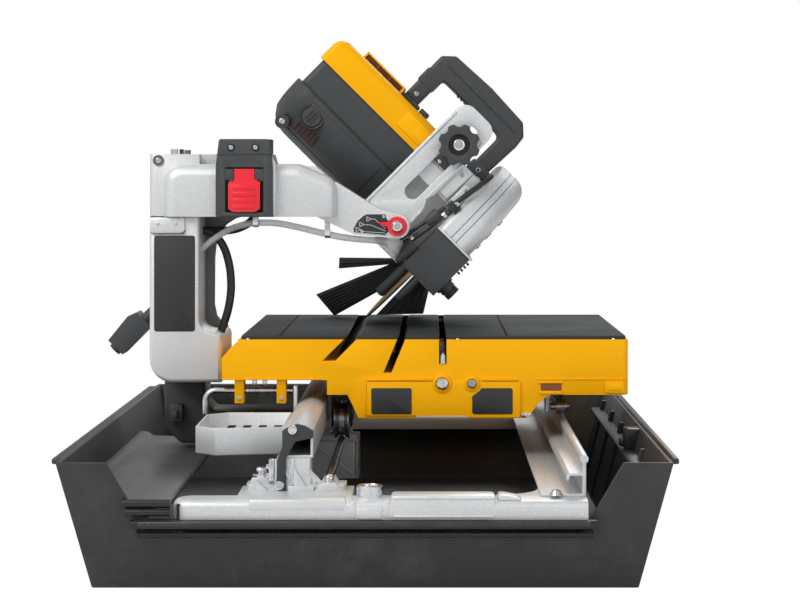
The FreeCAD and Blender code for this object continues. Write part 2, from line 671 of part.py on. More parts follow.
def pump_outlet():
    box = new_body("pump_outlet")
    pad(box, "front", "0", "46", [("0", "0"), ("49", "0"), ("49", "25"), ("38", "29"), ("0", "25")])
    pad(box, "side", "49", "19", ("23", "12", "7"))
    pad(box, "side", "- 6", "6", ("23", "12", "8"))
    box.Placement = FreeCAD.Placement(Vector(0, 0, 0), FreeCAD.Rotation(Vector(0, 1, 0), -45))
    return place(box, "column_left - 40", "column_front_y + 50", "column_bottom + 30")


# ---------------------------------------------------------------- bevel bracket and its clamp

def bevel_bracket():
    bracket = new_body("bevel_bracket")
    pad(bracket, "front", "plate_front_y", "plate_thick", [
        ("plate_left", "plate_bottom"), ("toe_left - 6", "plate_bottom - 6"),
        ("toe_left", "toe_low"), ("toe_right", "toe_low"), ("toe_right", "toe_high"),
        ("toe_right - 12", "toe_high + 4"), ("plate_right + 5", "9"), ("plate_right + 4", "slot_low"),
        ("plate_right - 5", "slot_low + 14"), ("plate_right", "slot_low + 24"),
        ("plate_right", "plate_top"), ("plate_left", "plate_top")])
    pad(bracket, "front", "plate_front_y", "toe_depth",
        box_loop("toe_left", "toe_right", "toe_low", "toe_high - 8"))
    soften(bracket, "16", lambda e, m: along(e, (0, 1, 0)) and m.z > value("plate_top") - 1)
    cut(bracket, "front", "plate_front_y - 1", "plate_thick + 2", box_loop(
        "slot_x - slot_half", "slot_x + slot_half", "slot_low", "slot_high"))
    soften(bracket, "slot_half - 0.01", lambda e, m: along(e, (0, 1, 0)) and in_slot(m))
    cut(bracket, "front", "plate_front_y - 1", "plate_thick + 2",
        ("0", "0", "pivot_bolt + pivot_fit"))
    return lean(bracket)


def in_slot(point):
    inside = abs(point.x - value("slot_x")) < value("slot_half") + 0.5
    return inside and value("slot_low") - 1 < point.z < value("slot_high") + 1


def bevel_bolt():
    bolt = new_body("bevel_bolt")
    front = "lug_front_y - 6"
    turn(bolt, "y", [(front + " - 3", "0"), ("plate_front_y + plate_thick + 12", "0"),
                     ("plate_front_y + plate_thick + 12", "pivot_bolt"), (front, "pivot_bolt"),
                     (front, "bolt_head"), (front + " - 3", "bolt_head - 2")])
    return lean(bolt)


def bevel_pointer():
    pointer = new_body("bevel_pointer")
    pad(pointer, "front", "lug_front_y - 5.7", "3.2", ("0", "0", "bolt_head + 4"))
    pad(pointer, "front", "lug_front_y - 4.5", "2", [("- 8", "- 9"), ("- 21", "- 14"), ("- 11", "- 3")])
    cut(pointer, "front", "lug_front_y - 12", "14", ("0", "0", "pivot_bolt + pivot_fit"))
    return lean(pointer)


def lobed(body, front, depth, radius, scallop, count):
    """A round knob whose rim is scalloped by one cut repeated round its axis."""
    pad(body, "front", front, depth, ("0", "0", radius))
    scoop = cut(body, "front", front + " - 1", depth + " + 2", (radius + " + 3", "0", scallop))
    repeat = body.newObject("PartDesign::PolarPattern", "Scallops")
    repeat.Originals = [scoop]
    repeat.Axis = (scoop.Profile[0], ["N_Axis"])
    repeat.Angle = 360
    repeat.Occurrences = count
    body.Tip = repeat


def bevel_lock_knob():
    knob = new_body("bevel_lock_knob")
    lobed(knob, "plate_front_y + plate_thick + part_gap", "12", "bolt_head + 6", "4", 6)
    cut(knob, "front", "plate_front_y", "plate_thick + 20", ("0", "0", "pivot_bolt + pivot_fit"))
    return lean(knob)


def plunge_knob():
    knob = new_body("plunge_knob")
    front = "( plate_front_y - knob_depth - part_gap )"
    lobed(knob, front, "knob_depth - 6", "knob_radius", "knob_scallop", 8)
    pad(knob, "front", front + " + knob_depth - 7", "7", ("0", "0", "slot_half + 4"))
    cut(knob, "front", front + " - 1", "8", ("0", "0", "knob_radius / 2"))
    return lean(knob, "slot_x", "0", "knob_height")


# ---------------------------------------------------------------- motor and gearbox

motor_height = "( arbor_height + gear_module * ( pinion_teeth + gear_teeth ) / 2 )"


def slider_block():
    block = new_body("slider_block")
    pad(block, "front", "plate_front_y + 0.4", "gearbox_front_y - plate_front_y - 0.4", box_loop(
        "slot_x - slider_half", "slot_x + slider_half", "knob_height - slider_length * 0.65",
        "knob_height + slider_length * 0.15"))
    return lean(block)


def gearbox_housing():
    box = new_body("gearbox_housing")
    width = "gearbox_right - gearbox_left"
    pad(box, "side", "gearbox_left", width, [
        ("gearbox_front_y", "gearbox_step"), ("motor_y - 42", "gearbox_step"),
        ("motor_y - 42", "gearbox_low + 16"), ("motor_y - 24", "gearbox_low"),
        ("motor_y + 24", "gearbox_low"), ("gearbox_rear_y", "gearbox_low + 22"),
        ("gearbox_rear_y", "gearbox_top"), ("gearbox_front_y", "gearbox_top")])
    soften(box, "5", lambda e, m: along(e, (1, 0, 0)) and m.z > value("gearbox_top") - 1)
    cut(box, "side", "gearbox_left - 1", width + " + 1 - gearbox_wall", box_loop(
        "motor_y - 34", "motor_y + 34", "gearbox_low + gearbox_wall + 2", "gearbox_top - 14"))
    cut(box, "side", "gearbox_left", width + " + 1", ("motor_y", "arbor_height", "19.2"))
    return lean(box)


def gear_cover():
    """Plate in the gearbox's open side that seats one bearing of each shaft."""
    plate = new_body("gear_cover")
    pad(plate, "side", "gearbox_left", "6", box_loop(
        "motor_y - 33.8", "motor_y + 33.8", "gearbox_low + gearbox_wall + 2.2",
        "gearbox_top - 14.2"))
    cut(plate, "side", "gearbox_left - 1", "8", ("motor_y", "arbor_height", "19.2"))
    cut(plate, "side", "gearbox_left - 1", "8", ("motor_y", motor_height, "13.2"))
    return lean(plate)


def rings(spans, inner, outer, height):
    """Bearings on one shaft, one ring for each span."""
    made = []
    for start, length in spans:
        outside = doc.addObject("Part::Cylinder", "Outside")
        inside = doc.addObject("Part::Cylinder", "Inside")
        for cylinder, radius in ((outside, outer), (inside, inner)):
            bind(cylinder, "Radius", radius)
            bind(cylinder, "Height", length)
        whole = doc.addObject("Part::Cut", "Ring")
        whole.Base = outside
        whole.Tool = inside
        whole.Placement = FreeCAD.Placement(Vector(0, 0, 0), FreeCAD.Rotation(Vector(0, 1, 0), 90))
        made.append(place(whole, start, "motor_y", height))
    return made


def bearings():
    on_spindle = rings([("gearbox_left", "6"), ("gearbox_right - 6", "6")],
                       "spindle_radius + pivot_fit", "19", "arbor_height")
    on_armature = rings([("gearbox_left", "6"), ("motor_left + 1", "6")],
                        "armature_shaft + pivot_fit", "13", motor_height)
    return lean(joined("bearings", on_spindle + on_armature))


def tooth(radius, span, angle):
    return (radius + " * cos( " + angle + span + " )", radius + " * sin( " + angle + span + " )")


def gear(label, teeth, start, bore, first_angle):
    """Spur gear about x: a root disc and one tooth repeated round it."""
    body = new_body(label)
    root = "( gear_module * ( %s / 2 - 1.2 ) )" % teeth
    tip = "( gear_module * ( %s / 2 + 0.9 ) )" % teeth
    pad(body, "side", start, "gear_width", ("0", "0", root))
    wide = "52 / " + teeth
    narrow = "26 / " + teeth
    low = "( gear_module * ( %s / 2 - 1.5 ) )" % teeth
    profile = [tooth(low, " - " + wide, first_angle), tooth(tip, " - " + narrow, first_angle),
               tooth(tip, " + " + narrow, first_angle), tooth(low, " + " + wide, first_angle)]
    one = pad(body, "side", start, "gear_width", profile)
    repeat = body.newObject("PartDesign::PolarPattern", "Teeth")
    repeat.Originals = [one]
    repeat.Axis = (one.Profile[0], ["N_Axis"])
    repeat.Angle = 360
    bind(repeat, "Occurrences", teeth)
    body.Tip = repeat
    cut(body, "side", start + " - 1", "gear_width + 2", ("0", "0", bore))
    return body


def gears():
    pinion = gear("drive_pinion", "pinion_teeth", "gear_x", "4.55", "270")
    lean(pinion, "0", "motor_y", motor_height)
    wheel = gear("drive_gear", "gear_teeth", "gear_x", "spindle_radius + pivot_fit",
                 "90 + 180 / gear_teeth")
    lean(wheel, "0", "motor_y", "arbor_height")


def motor_housing():
    """Barrel of the motor with the square band round its top, where the cover seats."""
    shell = new_body("motor_housing")
    length = "motor_right - motor_left"
    pad(shell, "side", "barrel_left", "motor_right - barrel_left",
        ("motor_y", motor_height, "motor_radius"))
    cut(shell, "side", "motor_left - 1", length + " + 2", box_loop(
        "motor_y - 100", "motor_y + 100", "band_low + 1", "band_low + 200"))
    pad(shell, "side", "band_left", "motor_right - band_left", box_loop(
        "motor_y - motor_radius - 2", "motor_y + motor_radius + 2", "band_low", "band_high"))
    soften(shell, "8", lambda e, m: along(e, (0, 0, 1)) and m.x < value("band_left") + 1)
    cut(shell, "side", "motor_left", length + " + 1",
        ("motor_y", motor_height, "motor_radius - motor_wall"))
    cut(shell, "front", "motor_y - 100", "100", ("brush_x", "brush_height", "brush_radius + 0.3"))
    return lean(shell)


def motor_cover():
    cover = new_body("motor_cover")
    pad(cover, "side", "cover_left", "motor_right - cover_left", box_loop(
        "motor_y - motor_radius - 2", "motor_y + motor_radius + 2", "band_high", "cover_top"))
    soften(cover, "cover_round", lambda e, m: m.z > value("cover_top") - 1
           and m.x < value("motor_right") - 1)
    soften(cover, "8", lambda e, m: along(e, (0, 0, 1)) and m.x < value("cover_left") + 1)
    cut(cover, "side", "motor_left", "motor_right - motor_left + 1",
        ("motor_y", motor_height, "motor_radius - motor_wall"))
    pad(cover, "top", "cover_top - 1", "hood_height + 1", box_loop(
        "hood_left", "hood_right - 4", "motor_y - 38", "motor_y + 38"))
    slots = [box_loop("hood_left + 5 + 12 * %d" % i, "hood_left + 13 + 12 * %d" % i,
                      "cover_top + 2", "cover_top + hood_height - 3") for i in range(5)]
    cut(cover, "front", "motor_y - 39", "30", *slots)
    return lean(cover)


def motor_end_cap():
    """Domed end of the barrel, below the square band, with the rear bearing's seat inside."""
    cap = new_body("motor_end_cap")
    end = "motor_left - cap_depth"
    inner = "motor_radius - motor_wall"
    turn(cap, "x", [("barrel_left", "motor_radius"), ("barrel_left - 14", "motor_radius - 2"),
                    (end + " + 10", "motor_radius - 9"), (end + " + 2", "motor_radius - 20"),
                    (end, "motor_radius - 30"), (end, "0"), (end + " + 5", "0"),
                    (end + " + 5", inner + " - 26"), (end + " + 12", inner + " - 8"),
                    ("barrel_left - 14", inner + " - 1"), ("barrel_left", inner)])
    low = "( band_low - gear_module * ( pinion_teeth + gear_teeth ) / 2 - arbor_height )"
    under_band = box_loop("- 100", "100", low, low + " + 200")
    cut(cap, "side", end + " - 1", "60", under_band)
    slots = [box_loop("12 * %d - 39" % i, "12 * %d - 33" % i, low + " - 52", low + " - 14")
             for i in range(7)]
    cut(cap, "side", end + " - 1", "4", *slots)
    pad(cap, "side", end + " + 4", "cap_depth + 4", ("0", "0", "18"))
    cut(cap, "side", end + " - 1", "cap_depth + 1", under_band)
    cut(cap, "side", "motor_left + 0.5", "8", ("0", "0", "13.2"))
    return lean(cap, "0", "motor_y", motor_height)


def brush_caps():
    cap = new_body("brush_cap")
    turn(cap, "y", [("motor_y - motor_radius + 2", "0"), ("motor_y - motor_radius + 12", "0"),
                    ("motor_y - motor_radius + 12", "brush_radius"),
                    ("motor_y - motor_radius + 3", "brush_radius"),
                    ("motor_y - motor_radius + 2", "brush_radius - 1")])
    return lean(cap, "brush_x", "0", "brush_height")


def motor_field():
    field = new_body("motor_field")
    outer = "motor_radius - motor_wall - 0.2"
    turn(field, "x", [("motor_left + 52", "field_inner"), ("motor_left + 120", "field_inner"),
                      ("motor_left + 120", outer), ("motor_left + 52", outer)])
    return lean(field, "0", "motor_y", motor_height)


def armature():
    rotor = new_body("armature")
    turn(rotor, "x", [
        ("motor_left + 1", "0"), ("gear_x + gear_width + 2", "0"), ("gear_x + gear_width + 2", "4.5"),
        ("gear_x - 6", "4.5"), ("gear_x - 6", "armature_shaft"),
        ("motor_left + 124", "armature_shaft"), ("motor_left + 121", "armature_radius - 8"),
        ("motor_left + 117", "armature_radius"), ("motor_left + 54", "armature_radius"),
        ("motor_left + 50", "armature_radius - 8"), ("motor_left + 40", "16"),
        ("motor_left + 14", "16"), ("motor_left + 14", "armature_shaft"),
        ("motor_left + 1", "armature_shaft")])
    return lean(rotor, "0", "motor_y", motor_height)


def motor_fan():
    fan = new_body("motor_fan")
    bore = "armature_shaft + pivot_fit"
    turn(fan, "x", [("motor_left + 126", bore), ("motor_left + 140", bore),
                    ("motor_left + 140", "12"), ("motor_left + 129", "16"),
                    ("motor_left + 129", "fan_radius"), ("motor_left + 126", "fan_radius")])
    blade = pad(fan, "side", "motor_left + 128.5", "11", box_loop("20", "fan_radius - 2", "- 1", "1"))
    repeat = fan.newObject("PartDesign::PolarPattern", "Vanes")
    repeat.Originals = [blade]
    repeat.Axis = (blade.Profile[0], ["N_Axis"])
    repeat.Angle = 360
    repeat.Occurrences = 9
    fan.Tip = repeat
    return lean(fan, "0", "motor_y", motor_height)


# ---------------------------------------------------------------- blade, flanges and guard

def spindle():
    shaft = new_body("spindle")
    end = "blade_offset + flange_thick + 14"
    turn(shaft, "x", [("gearbox_left + 0.5", "0"), (end, "0"), (end, "spindle_radius - 1"),
                      (end + " - 1", "spindle_radius"), ("gearbox_left + 0.5", "spindle_radius")])
    return lean(shaft, "0", "motor_y", "arbor_height")


def blade():
    disc = new_body("blade")
    bore = "spindle_radius + pivot_fit"
    core = "blade_thick / 2"
    rim = "rim_thick / 2"
    turn(disc, "x", [("- " + core, bore), (core, bore), (core, "blade_radius - rim_height"),
                     (rim, "blade_radius - rim_height"), (rim, "blade_radius"),
                     ("- " + rim, "blade_radius"), ("- " + rim, "blade_radius - rim_height"),
                     ("- " + core, "blade_radius - rim_height")])
    return lean(disc, "blade_offset", "motor_y", "arbor_height")


def blade_flanges():
    """Dished collars that grip the blade from both sides."""
    collars = []
    bore = "spindle_radius + pivot_fit"
    for side in ("-", ""):
        collar = loose_body()
        near = "%s ( blade_thick / 2 + 0.02 )" % side
        relief = "%s ( blade_thick / 2 + 1 )" % side
        far = "%s ( blade_thick / 2 + flange_thick )" % side
        turn(collar, "x", [(relief, bore), (far, bore), (far, "flange_radius - 9"),
                           (relief, "flange_radius"), (near, "flange_radius"),
                           (near, "flange_radius - 6"), (relief, "flange_radius - 6")])
        collars.append(collar)
    return lean(joined("blade_flanges", collars), "blade_offset", "motor_y", "arbor_height")


def arbor_nut():
    nut = new_body("arbor_nut")
    across = "12"
    corners = [("%s * cos( %d )" % (across, 60 * i), "%s * sin( %d )" % (across, 60 * i))
               for i in range(6)]
    pad(nut, "side", "blade_thick / 2 + flange_thick + 0.02", "10", corners)
    cut(nut, "side", "0", "40", ("0", "0", "spindle_radius + pivot_fit"))
    return lean(nut, "blade_offset", "motor_y", "arbor_height")


def guard_shell(label, left, right, radius, low, high):
    """Slice of the round guard between two heights, hollow for the blade."""
    guard = new_body(label)
    width = "%s - %s" % (right, left)
    pad(guard, "side", left, width, ("motor_y", "arbor_height", radius))
    cut(guard, "side", "%s - 1" % left, width + " + 2",
        box_loop("motor_y - 200", "motor_y + 200", high, high + " + 400"))
    cut(guard, "side", "%s - 1" % left, width + " + 2",
        box_loop("motor_y - 200", "motor_y + 200", low + " - 400", low))
    return guard


def hollow_guard(guard, left, right, radius):
    cut(guard, "side", "%s + guard_wall" % left, "%s - %s - 2 * guard_wall" % (right, left),
        ("motor_y", "arbor_height", radius + " - guard_wall"))
    return lean(guard)


def blade_guard():
    guard = guard_shell("blade_guard", "guard_left", "guard_right", "guard_radius", "guard_split",
                        "guard_split + 300")
    soften(guard, "20", lambda e, m: m.x > value("guard_right") - 1 and m.z > value("guard_split") + 1)
    soften(guard, "8", lambda e, m: m.x < value("guard_left") + 1 and m.z > value("guard_split") + 1)
    return hollow_guard(guard, "guard_left", "guard_right", "guard_radius")


def guard_skirt():
    guard = guard_shell("guard_skirt", "guard_left", "skirt_right", "skirt_radius", "skirt_low",
                        "guard_split")
    cut(guard, "side", "guard_left - 1", "10", ("motor_y", "arbor_height", "20"))
    hollow_guard(guard, "guard_left", "skirt_right", "skirt_radius")
    pad(guard, "side", "skirt_right - 1", "port_length + 1", ("port_y", "port_height", "port_radius"))
    cut(guard, "side", "skirt_right - 2", "port_length + 3", (
        "port_y", "port_height", "port_radius - 3"))
    return guard


def port_cap():
    cap = new_body("port_cap")
    low = "skirt_right + port_length + 0.02"
    turn(cap, "x", [(low, "0"), (low + " + 8", "0"), (low + " + 8", "port_radius - 3"),
                    (low, "port_radius - 2")])
    return lean(cap, "0", "port_y", "port_height")


def splash_flaps():
    """Ribbed rubber leaves behind the blade, down to just above the cart."""
    top = "skirt_low - 0.3"
    shapes = {
        "splash_flap_left": ("246", [("guard_left + 1", top), ("62", top), ("27", "- 153"),
                                     ("- 11", "- 150")]),
        "splash_flap_right": ("246", [("64", top), ("88", top), ("110", "- 66"), ("66", "- 112")]),
        "splash_flap_top": ("238", [("guard_left + 1", top), ("guard_left + 9", top),
                                    ("- 14", "- 103"), ("- 24", "- 92")]),
    }
    for label, (y, outline) in shapes.items():
        leaf = new_body(label)
        pad(leaf, "front", y, "3", outline)
        lean(leaf)


def guard_water_pipe():
    """Feed pipe in front of the bracket and the block that clips it to the gearbox."""
    pipe = doc.addObject("Part::Feature", "Pipe")
    ends = [Vector(21, 4, -10), Vector(27, 3, 16), Vector(33, 4, 60)]
    pipe.Shape = swept(ends, 3.6)
    block = loose_body()
    pad(block, "front", "- 2", "gearbox_front_y + 2", box_loop("28", "38", "60.02", "72"))
    cut(block, "front", "9", "gearbox_front_y - 9", box_loop("27", "39", "59", "gearbox_step"))
    return lean(joined("guard_water_pipe", [pipe, block]))


def handle():
    grip = new_body("handle")
    outline = [
        ("grip_left + 1", "leg_low"), ("grip_left + 1 + leg_width", "leg_low"),
        ("grip_left + 1 + leg_width", "grip_bottom"), ("right_leg_left", "grip_bottom"),
        ("right_leg_left", "gearbox_top"), ("right_leg_right", "gearbox_top"),
        ("grip_right", "grip_bottom + 6"), ("grip_right - 2", "grip_top - 16"),
        ("grip_right - 16", "grip_top - 3"), ("( grip_left + grip_right ) / 2", "grip_top"),
        ("grip_left + 14", "grip_top - 3"), ("grip_left", "grip_top - 16")]
    pad(grip, "front", "motor_y - grip_depth / 2", "grip_depth", outline)
    soften(grip, "7", lambda e, m: along(e, (0, 1, 0)) and grip_edge(m))
    soften(grip, "5", lambda e, m: abs(m.y - value("motor_y")) > value("grip_depth") / 2 - 0.5
           and m.z > value("gearbox_top") + 12)
    return lean(grip)


def grip_edge(point):
    return point.z > value("grip_bottom") - 1 and point.z < value("grip_top") - 1


# ---------------------------------------------------------------- cart

# each blade slot: name of its sizes and its lean from upright
slots = {"cut_bevel": "cut_bevel_angle", "cut_half": "cut_half_angle", "cut_upright": "0"}


def slot_edge(slot, height, side):
    """Where one side of a blade slot lies at a height above the base."""
    lean_angle = slots[slot]
    surface = "( cart_top + pad_thick )"
    centre = "%s_x - ( %s - ( %s ) ) * tan( %s )" % (slot, surface, height, lean_angle)
    return "%s %s %s_width / 2 / cos( %s )" % (centre, side, slot, lean_angle)


def cut_slot(body, slot):
    low = slot + "_low"
    high = "cart_top + pad_thick + 6"
    cut(body, "front", "cart_front_y - 20", "cart_depth + 40", [
        (slot_edge(slot, low, "-"), low), (slot_edge(slot, low, "+"), low),
        (slot_edge(slot, high, "+"), high), (slot_edge(slot, high, "-"), high)])


def cart_shell():
    shell = new_body("cart_shell")
    rear_y = "( cart_front_y + cart_depth )"
    pad(shell, "front", "cart_front_y", "cart_depth", [
        ("cart_left", "cart_low_left"), ("left_rail_x + 36", "cart_low_left"),
        ("left_rail_x + 36", "cart_low_right"), ("cart_right", "cart_low_right"),
        ("cart_right", "cart_top"), ("cart_left", "cart_top")])
    soften(shell, "8", lambda e, m: along(e, (0, 0, 1)) and m.x > value("cart_right") - 1)
    pad(shell, "front", "cart_front_y", "cart_depth - 70", [
        ("step_left", "cart_low_left"), ("cart_left + 1", "cart_low_left"),
        ("cart_left + 1", "step_top + 4"), ("step_left + 10", "step_top"),
        ("step_left", "step_top - 12")])
    inner = [rear_y + " - cart_wall", "cart_front_y + cart_wall"]
    deck = "( cart_top - cart_deck )"
    cut(shell, "top", "cart_low_left - 30", deck + " - cart_low_left + 30",
        box_loop("cart_left + cart_wall", "left_rail_x + 18", inner[1], inner[0]),
        box_loop("- 14", "6", inner[1], inner[0]),
        box_loop("cut_half_x + 8", "cut_upright_x - 10", inner[1], inner[0]),
        box_loop("cut_upright_x + 10", "cart_right - cart_wall", inner[1], inner[0]))
    cut(shell, "top", "cart_low_right - 30", "slot_floor - cart_low_right + 30",
        box_loop("left_rail_x + 17", "cut_upright_x + 11", inner[1], inner[0]))
    for y in ("cart_front_y", rear_y + " - apron_depth"):
        pad(shell, "front", y, "apron_depth", apron())
    pad(shell, "front", "cart_front_y - panel_proud", "panel_proud + 1", [
        ("- 9", "apron_low + 3"), ("110", "apron_low + 3"), ("116", "apron_low + 1"),
        ("175", "apron_low + 1"), ("175", "cart_low_left - 2"), ("- 9", "cart_low_left - 2")])
    for left in ("- 164", "- 114"):
        pad(shell, "top", "pin_z - 14", deck + " - pin_z + 15", box_loop(
            left, left + " + boss_width", "cart_front_y + 3", "pin_y + 12"))
    cut(shell, "side", "step_left - 1", "200", ("pin_y", "pin_z", "pin_radius + pivot_fit"))
    for slot in slots:
        cut_slot(shell, slot)
    return shell


def apron():
    """Deep front of the cart: a skirt with a finger notch, below the deck."""
    return [("left_rail_x + 30", "cart_low_left + 2"), ("left_rail_x + 36", "cart_low_left"),
            ("left_rail_x + 48", "cart_low_left - 4"), ("left_rail_x + 59", "cart_low_left - 15"),
            ("left_rail_x + 66", "apron_low + 16"), ("left_rail_x + 73", "apron_low"),
            ("51", "apron_low"), ("58", "apron_low + 14"), ("106", "apron_low + 14"),
            ("115", "apron_low"), ("right_rail_x", "apron_low"),
            ("right_rail_x + 14", "apron_low + 18"), ("right_rail_x + 22", "apron_low + 25"),
            ("right_rail_x + 32", "cart_low_right + 1"), ("right_rail_x + 32", "cart_low_left + 2")]


def cart_pads():
    """Rubber pads on the deck, one in each space between the blade slots."""
    low = "cart_top"
    high = "cart_top + pad_thick"
    sides = [("cart_left + 4", "cart_left + 4")]
    for slot in slots:
        sides.append((slot_edge(slot, low, "-"), slot_edge(slot, high, "-")))
        sides.append((slot_edge(slot, low, "+"), slot_edge(slot, high, "+")))
    sides.append(("cart_right - 3", "cart_right - 3"))
    strips = []
    for number in range(len(slots) + 1):
        left = sides[2 * number]
        right = sides[2 * number + 1]
        strip = loose_body()
        pad(strip, "front", "cart_front_y + 5", "cart_depth - 9", [
            (left[0], low), (right[0], low), (right[1], high), (left[1], high)])
        strips.append(strip)
    return joined("cart_pads", strips)


def cart_rollers():
    """Grooved rollers on the round rod at the left, plain rollers on the rail's bead at the right."""
    left_side = []
    right_side = []
    groove = "( left_roller_radius - left_roller_groove )"
    left_z = "( rod_z + rod_radius + track_gap + %s )" % groove
    right_z = "( %s + track_gap + right_roller_radius )" % bead_top()
    right_x = "( right_rail_x + right_rail_width - right_web / 2 )"
    places = {"front": "roller_front_y", "rear": "( roller_front_y + roller_spacing )"}
    for end, y in places.items():
        left = new_body("roller_left_" + end)
        half = "left_roller_width / 2"
        bore = "axle_radius + running_gap"
        turn(left, "x", [("- " + half, bore), (half, bore), (half, "left_roller_radius"),
                         ("rod_radius + 2.5", "left_roller_radius"), ("3", groove), ("- 3", groove),
                         ("- rod_radius - 2.5", "left_roller_radius"),
                         ("- " + half, "left_roller_radius")])
        place(left, "rod_x", y, left_z)
        left_side.append(axle("rod_x - 10", "20", y, left_z))
        left_side.append(hanger("rod_x", y, left_z, "slot_floor"))
        right = new_body("roller_right_" + end)
        half = "right_roller_width / 2"
        turn(right, "x", [("- " + half, bore), (half, bore), (half, "right_roller_radius - 1"),
                          (half + " - 1", "right_roller_radius"),
                          ("- " + half + " + 1", "right_roller_radius"),
                          ("- " + half, "right_roller_radius - 1")])
        place(right, right_x, y, right_z)
        right_side.append(axle(right_x + " - 14", "24", y, right_z))
        right_side.append(side_plate(right_x + " - 20", y, right_z))
    joined("left_roller_forks", left_side)
    joined("right_roller_plates", right_side)


def axle(x, length, y, z):
    rod = doc.addObject("Part::Cylinder", "Axle")
    bind(rod, "Radius", "axle_radius")
    bind(rod, "Height", length)
    rod.Placement = FreeCAD.Placement(Vector(0, 0, 0), FreeCAD.Rotation(Vector(0, 1, 0), 90))
    return place(rod, x, y, z)


def hanger(x, y, z, top):
    """Fork over a left roller, hung from the floor of the slots."""
    fork = loose_body()
    pad(fork, "front", "( %s ) - 14" % y, "28", [
        (x + " - 13", z + " - 8"), (x + " - 10", z + " - 8"),
        (x + " - 10", z + " + left_roller_radius + 1"), (x + " + 10", z + " + left_roller_radius + 1"),
        (x + " + 10", z + " - 8"), (x + " + 13", z + " - 8"), (x + " + 13", top),
        (x + " - 13", top)])
    return fork


def side_plate(x, y, z):
    plate = loose_body()
    pad(plate, "front", "( %s ) - 11" % y, "22",
        box_loop(x, x + " + 6", z + " - 7", "cart_top - cart_deck"))
    return plate


def lock_pin():
    y = value("pin_y")
    z = value("pin_z")
    left = value("pin_left")
    points = [Vector(value("pin_right"), y, z), Vector(left, y, z),
              Vector(left, y, z - value("pin_drop"))]
    tube("cart_lock_pin", points, value("pin_radius"))


def lock_bracket():
    """Plate on the left rail whose open notch takes the cart's lock pin."""
    plate = new_body("lock_bracket")
    pad(plate, "side", "left_rail_x - 4", "4", box_loop(
        "pin_y - 12", "pin_y + 12", "left_rail_bottom + 8", "pin_z + 7"))
    cut(plate, "side", "left_rail_x - 5", "6", box_loop(
        "pin_y - pin_radius - 1", "pin_y + pin_radius + 1", "pin_z - pin_radius - 1", "pin_z + 8"))
    return plate


def cut_indicator():
    mark = new_body("cut_indicator")
    half = "( cut_upright_width / 2 - 2 )"
    pad(mark, "front", "cart_front_y - 1", "9", [
        ("cut_upright_x - " + half, "cut_upright_low + 0.3"),
        ("cut_upright_x + " + half, "cut_upright_low + 0.3"),
        ("cut_upright_x + " + half, "cut_upright_low + 10"), ("cut_upright_x", "cut_upright_low + 14"),
        ("cut_upright_x - " + half, "cut_upright_low + 10")])
    return mark


# ---------------------------------------------------------------- build and export

def check_and_export():
    doc.recompute()
    for item in doc.Objects:
        if "Invalid" in item.State or "Error" in item.State:
            raise ValueError("%s (%s) failed" % (item.Label, item.Name))
    os.makedirs("parts", exist_ok=True)
    for part in parts:
        if part.Shape.isNull() or not part.Shape.isValid():
            raise ValueError(part.Label + " has no valid shape")
    for part in parts:
        part.Shape.exportStep("parts/" + part.Label + ".step")
    print(len(parts), "sub-parts")


fill_sheet()
water_pan()
front_beam()
cross_beam("rear_beam", "- beam_front_y - beam_width")
beam_bushing()
rail_supports()
left_rail()
right_rail()
frame_bolts()
rail_end_bracket()
guide_rod()
accessory_tray()
column_foot()
column()
arm()
switch_box()
switch_paddle()
water_tube()
motor_lead()
pump_outlet()
bevel_bracket()
bevel_bolt()
bevel_pointer()
bevel_lock_knob()
plunge_knob()
slider_block()
gearbox_housing()
gear_cover()
gears()
bearings()
motor_housing()
motor_cover()
motor_end_cap()
brush_caps()
motor_field()
armature()
motor_fan()
spindle()
blade()
blade_flanges()
arbor_nut()
blade_guard()
guard_skirt()
port_cap()
splash_flaps()
guard_water_pipe()
handle()
cart_shell()
cart_pads()
cart_rollers()
lock_pin()
lock_bracket()
cut_indicator()
check_and_export()
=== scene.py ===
# Bench wet tile saw: finishes, small hardware, mouldings and light around the fixed frame.
import json
import math
import bmesh
import bpy
from mathutils import Matrix, Vector


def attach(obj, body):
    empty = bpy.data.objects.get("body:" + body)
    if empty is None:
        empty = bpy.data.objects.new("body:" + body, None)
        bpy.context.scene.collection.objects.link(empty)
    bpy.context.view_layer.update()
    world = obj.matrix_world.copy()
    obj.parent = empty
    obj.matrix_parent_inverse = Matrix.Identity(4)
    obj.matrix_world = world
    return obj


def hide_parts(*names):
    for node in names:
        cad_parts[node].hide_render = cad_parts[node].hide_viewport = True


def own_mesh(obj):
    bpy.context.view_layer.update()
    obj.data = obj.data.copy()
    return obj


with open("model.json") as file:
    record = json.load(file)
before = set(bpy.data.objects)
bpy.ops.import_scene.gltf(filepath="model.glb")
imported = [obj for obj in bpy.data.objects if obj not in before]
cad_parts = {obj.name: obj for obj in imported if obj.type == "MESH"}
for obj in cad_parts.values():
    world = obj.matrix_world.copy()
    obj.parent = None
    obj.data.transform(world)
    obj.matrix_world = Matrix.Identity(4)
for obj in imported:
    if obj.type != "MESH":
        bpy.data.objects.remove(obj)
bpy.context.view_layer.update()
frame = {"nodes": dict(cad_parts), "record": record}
nodes = frame["nodes"]
print("frame loaded:", len(nodes), "nodes")

mm = 0.001
bevelAxis = Vector((0.0286, 0.0, 0.371))        # pivot of the leaning head
leanTurn = Matrix.Rotation(math.radians(45), 4, "Y")
headPlace = Matrix.Translation(bevelAxis) @ leanTurn


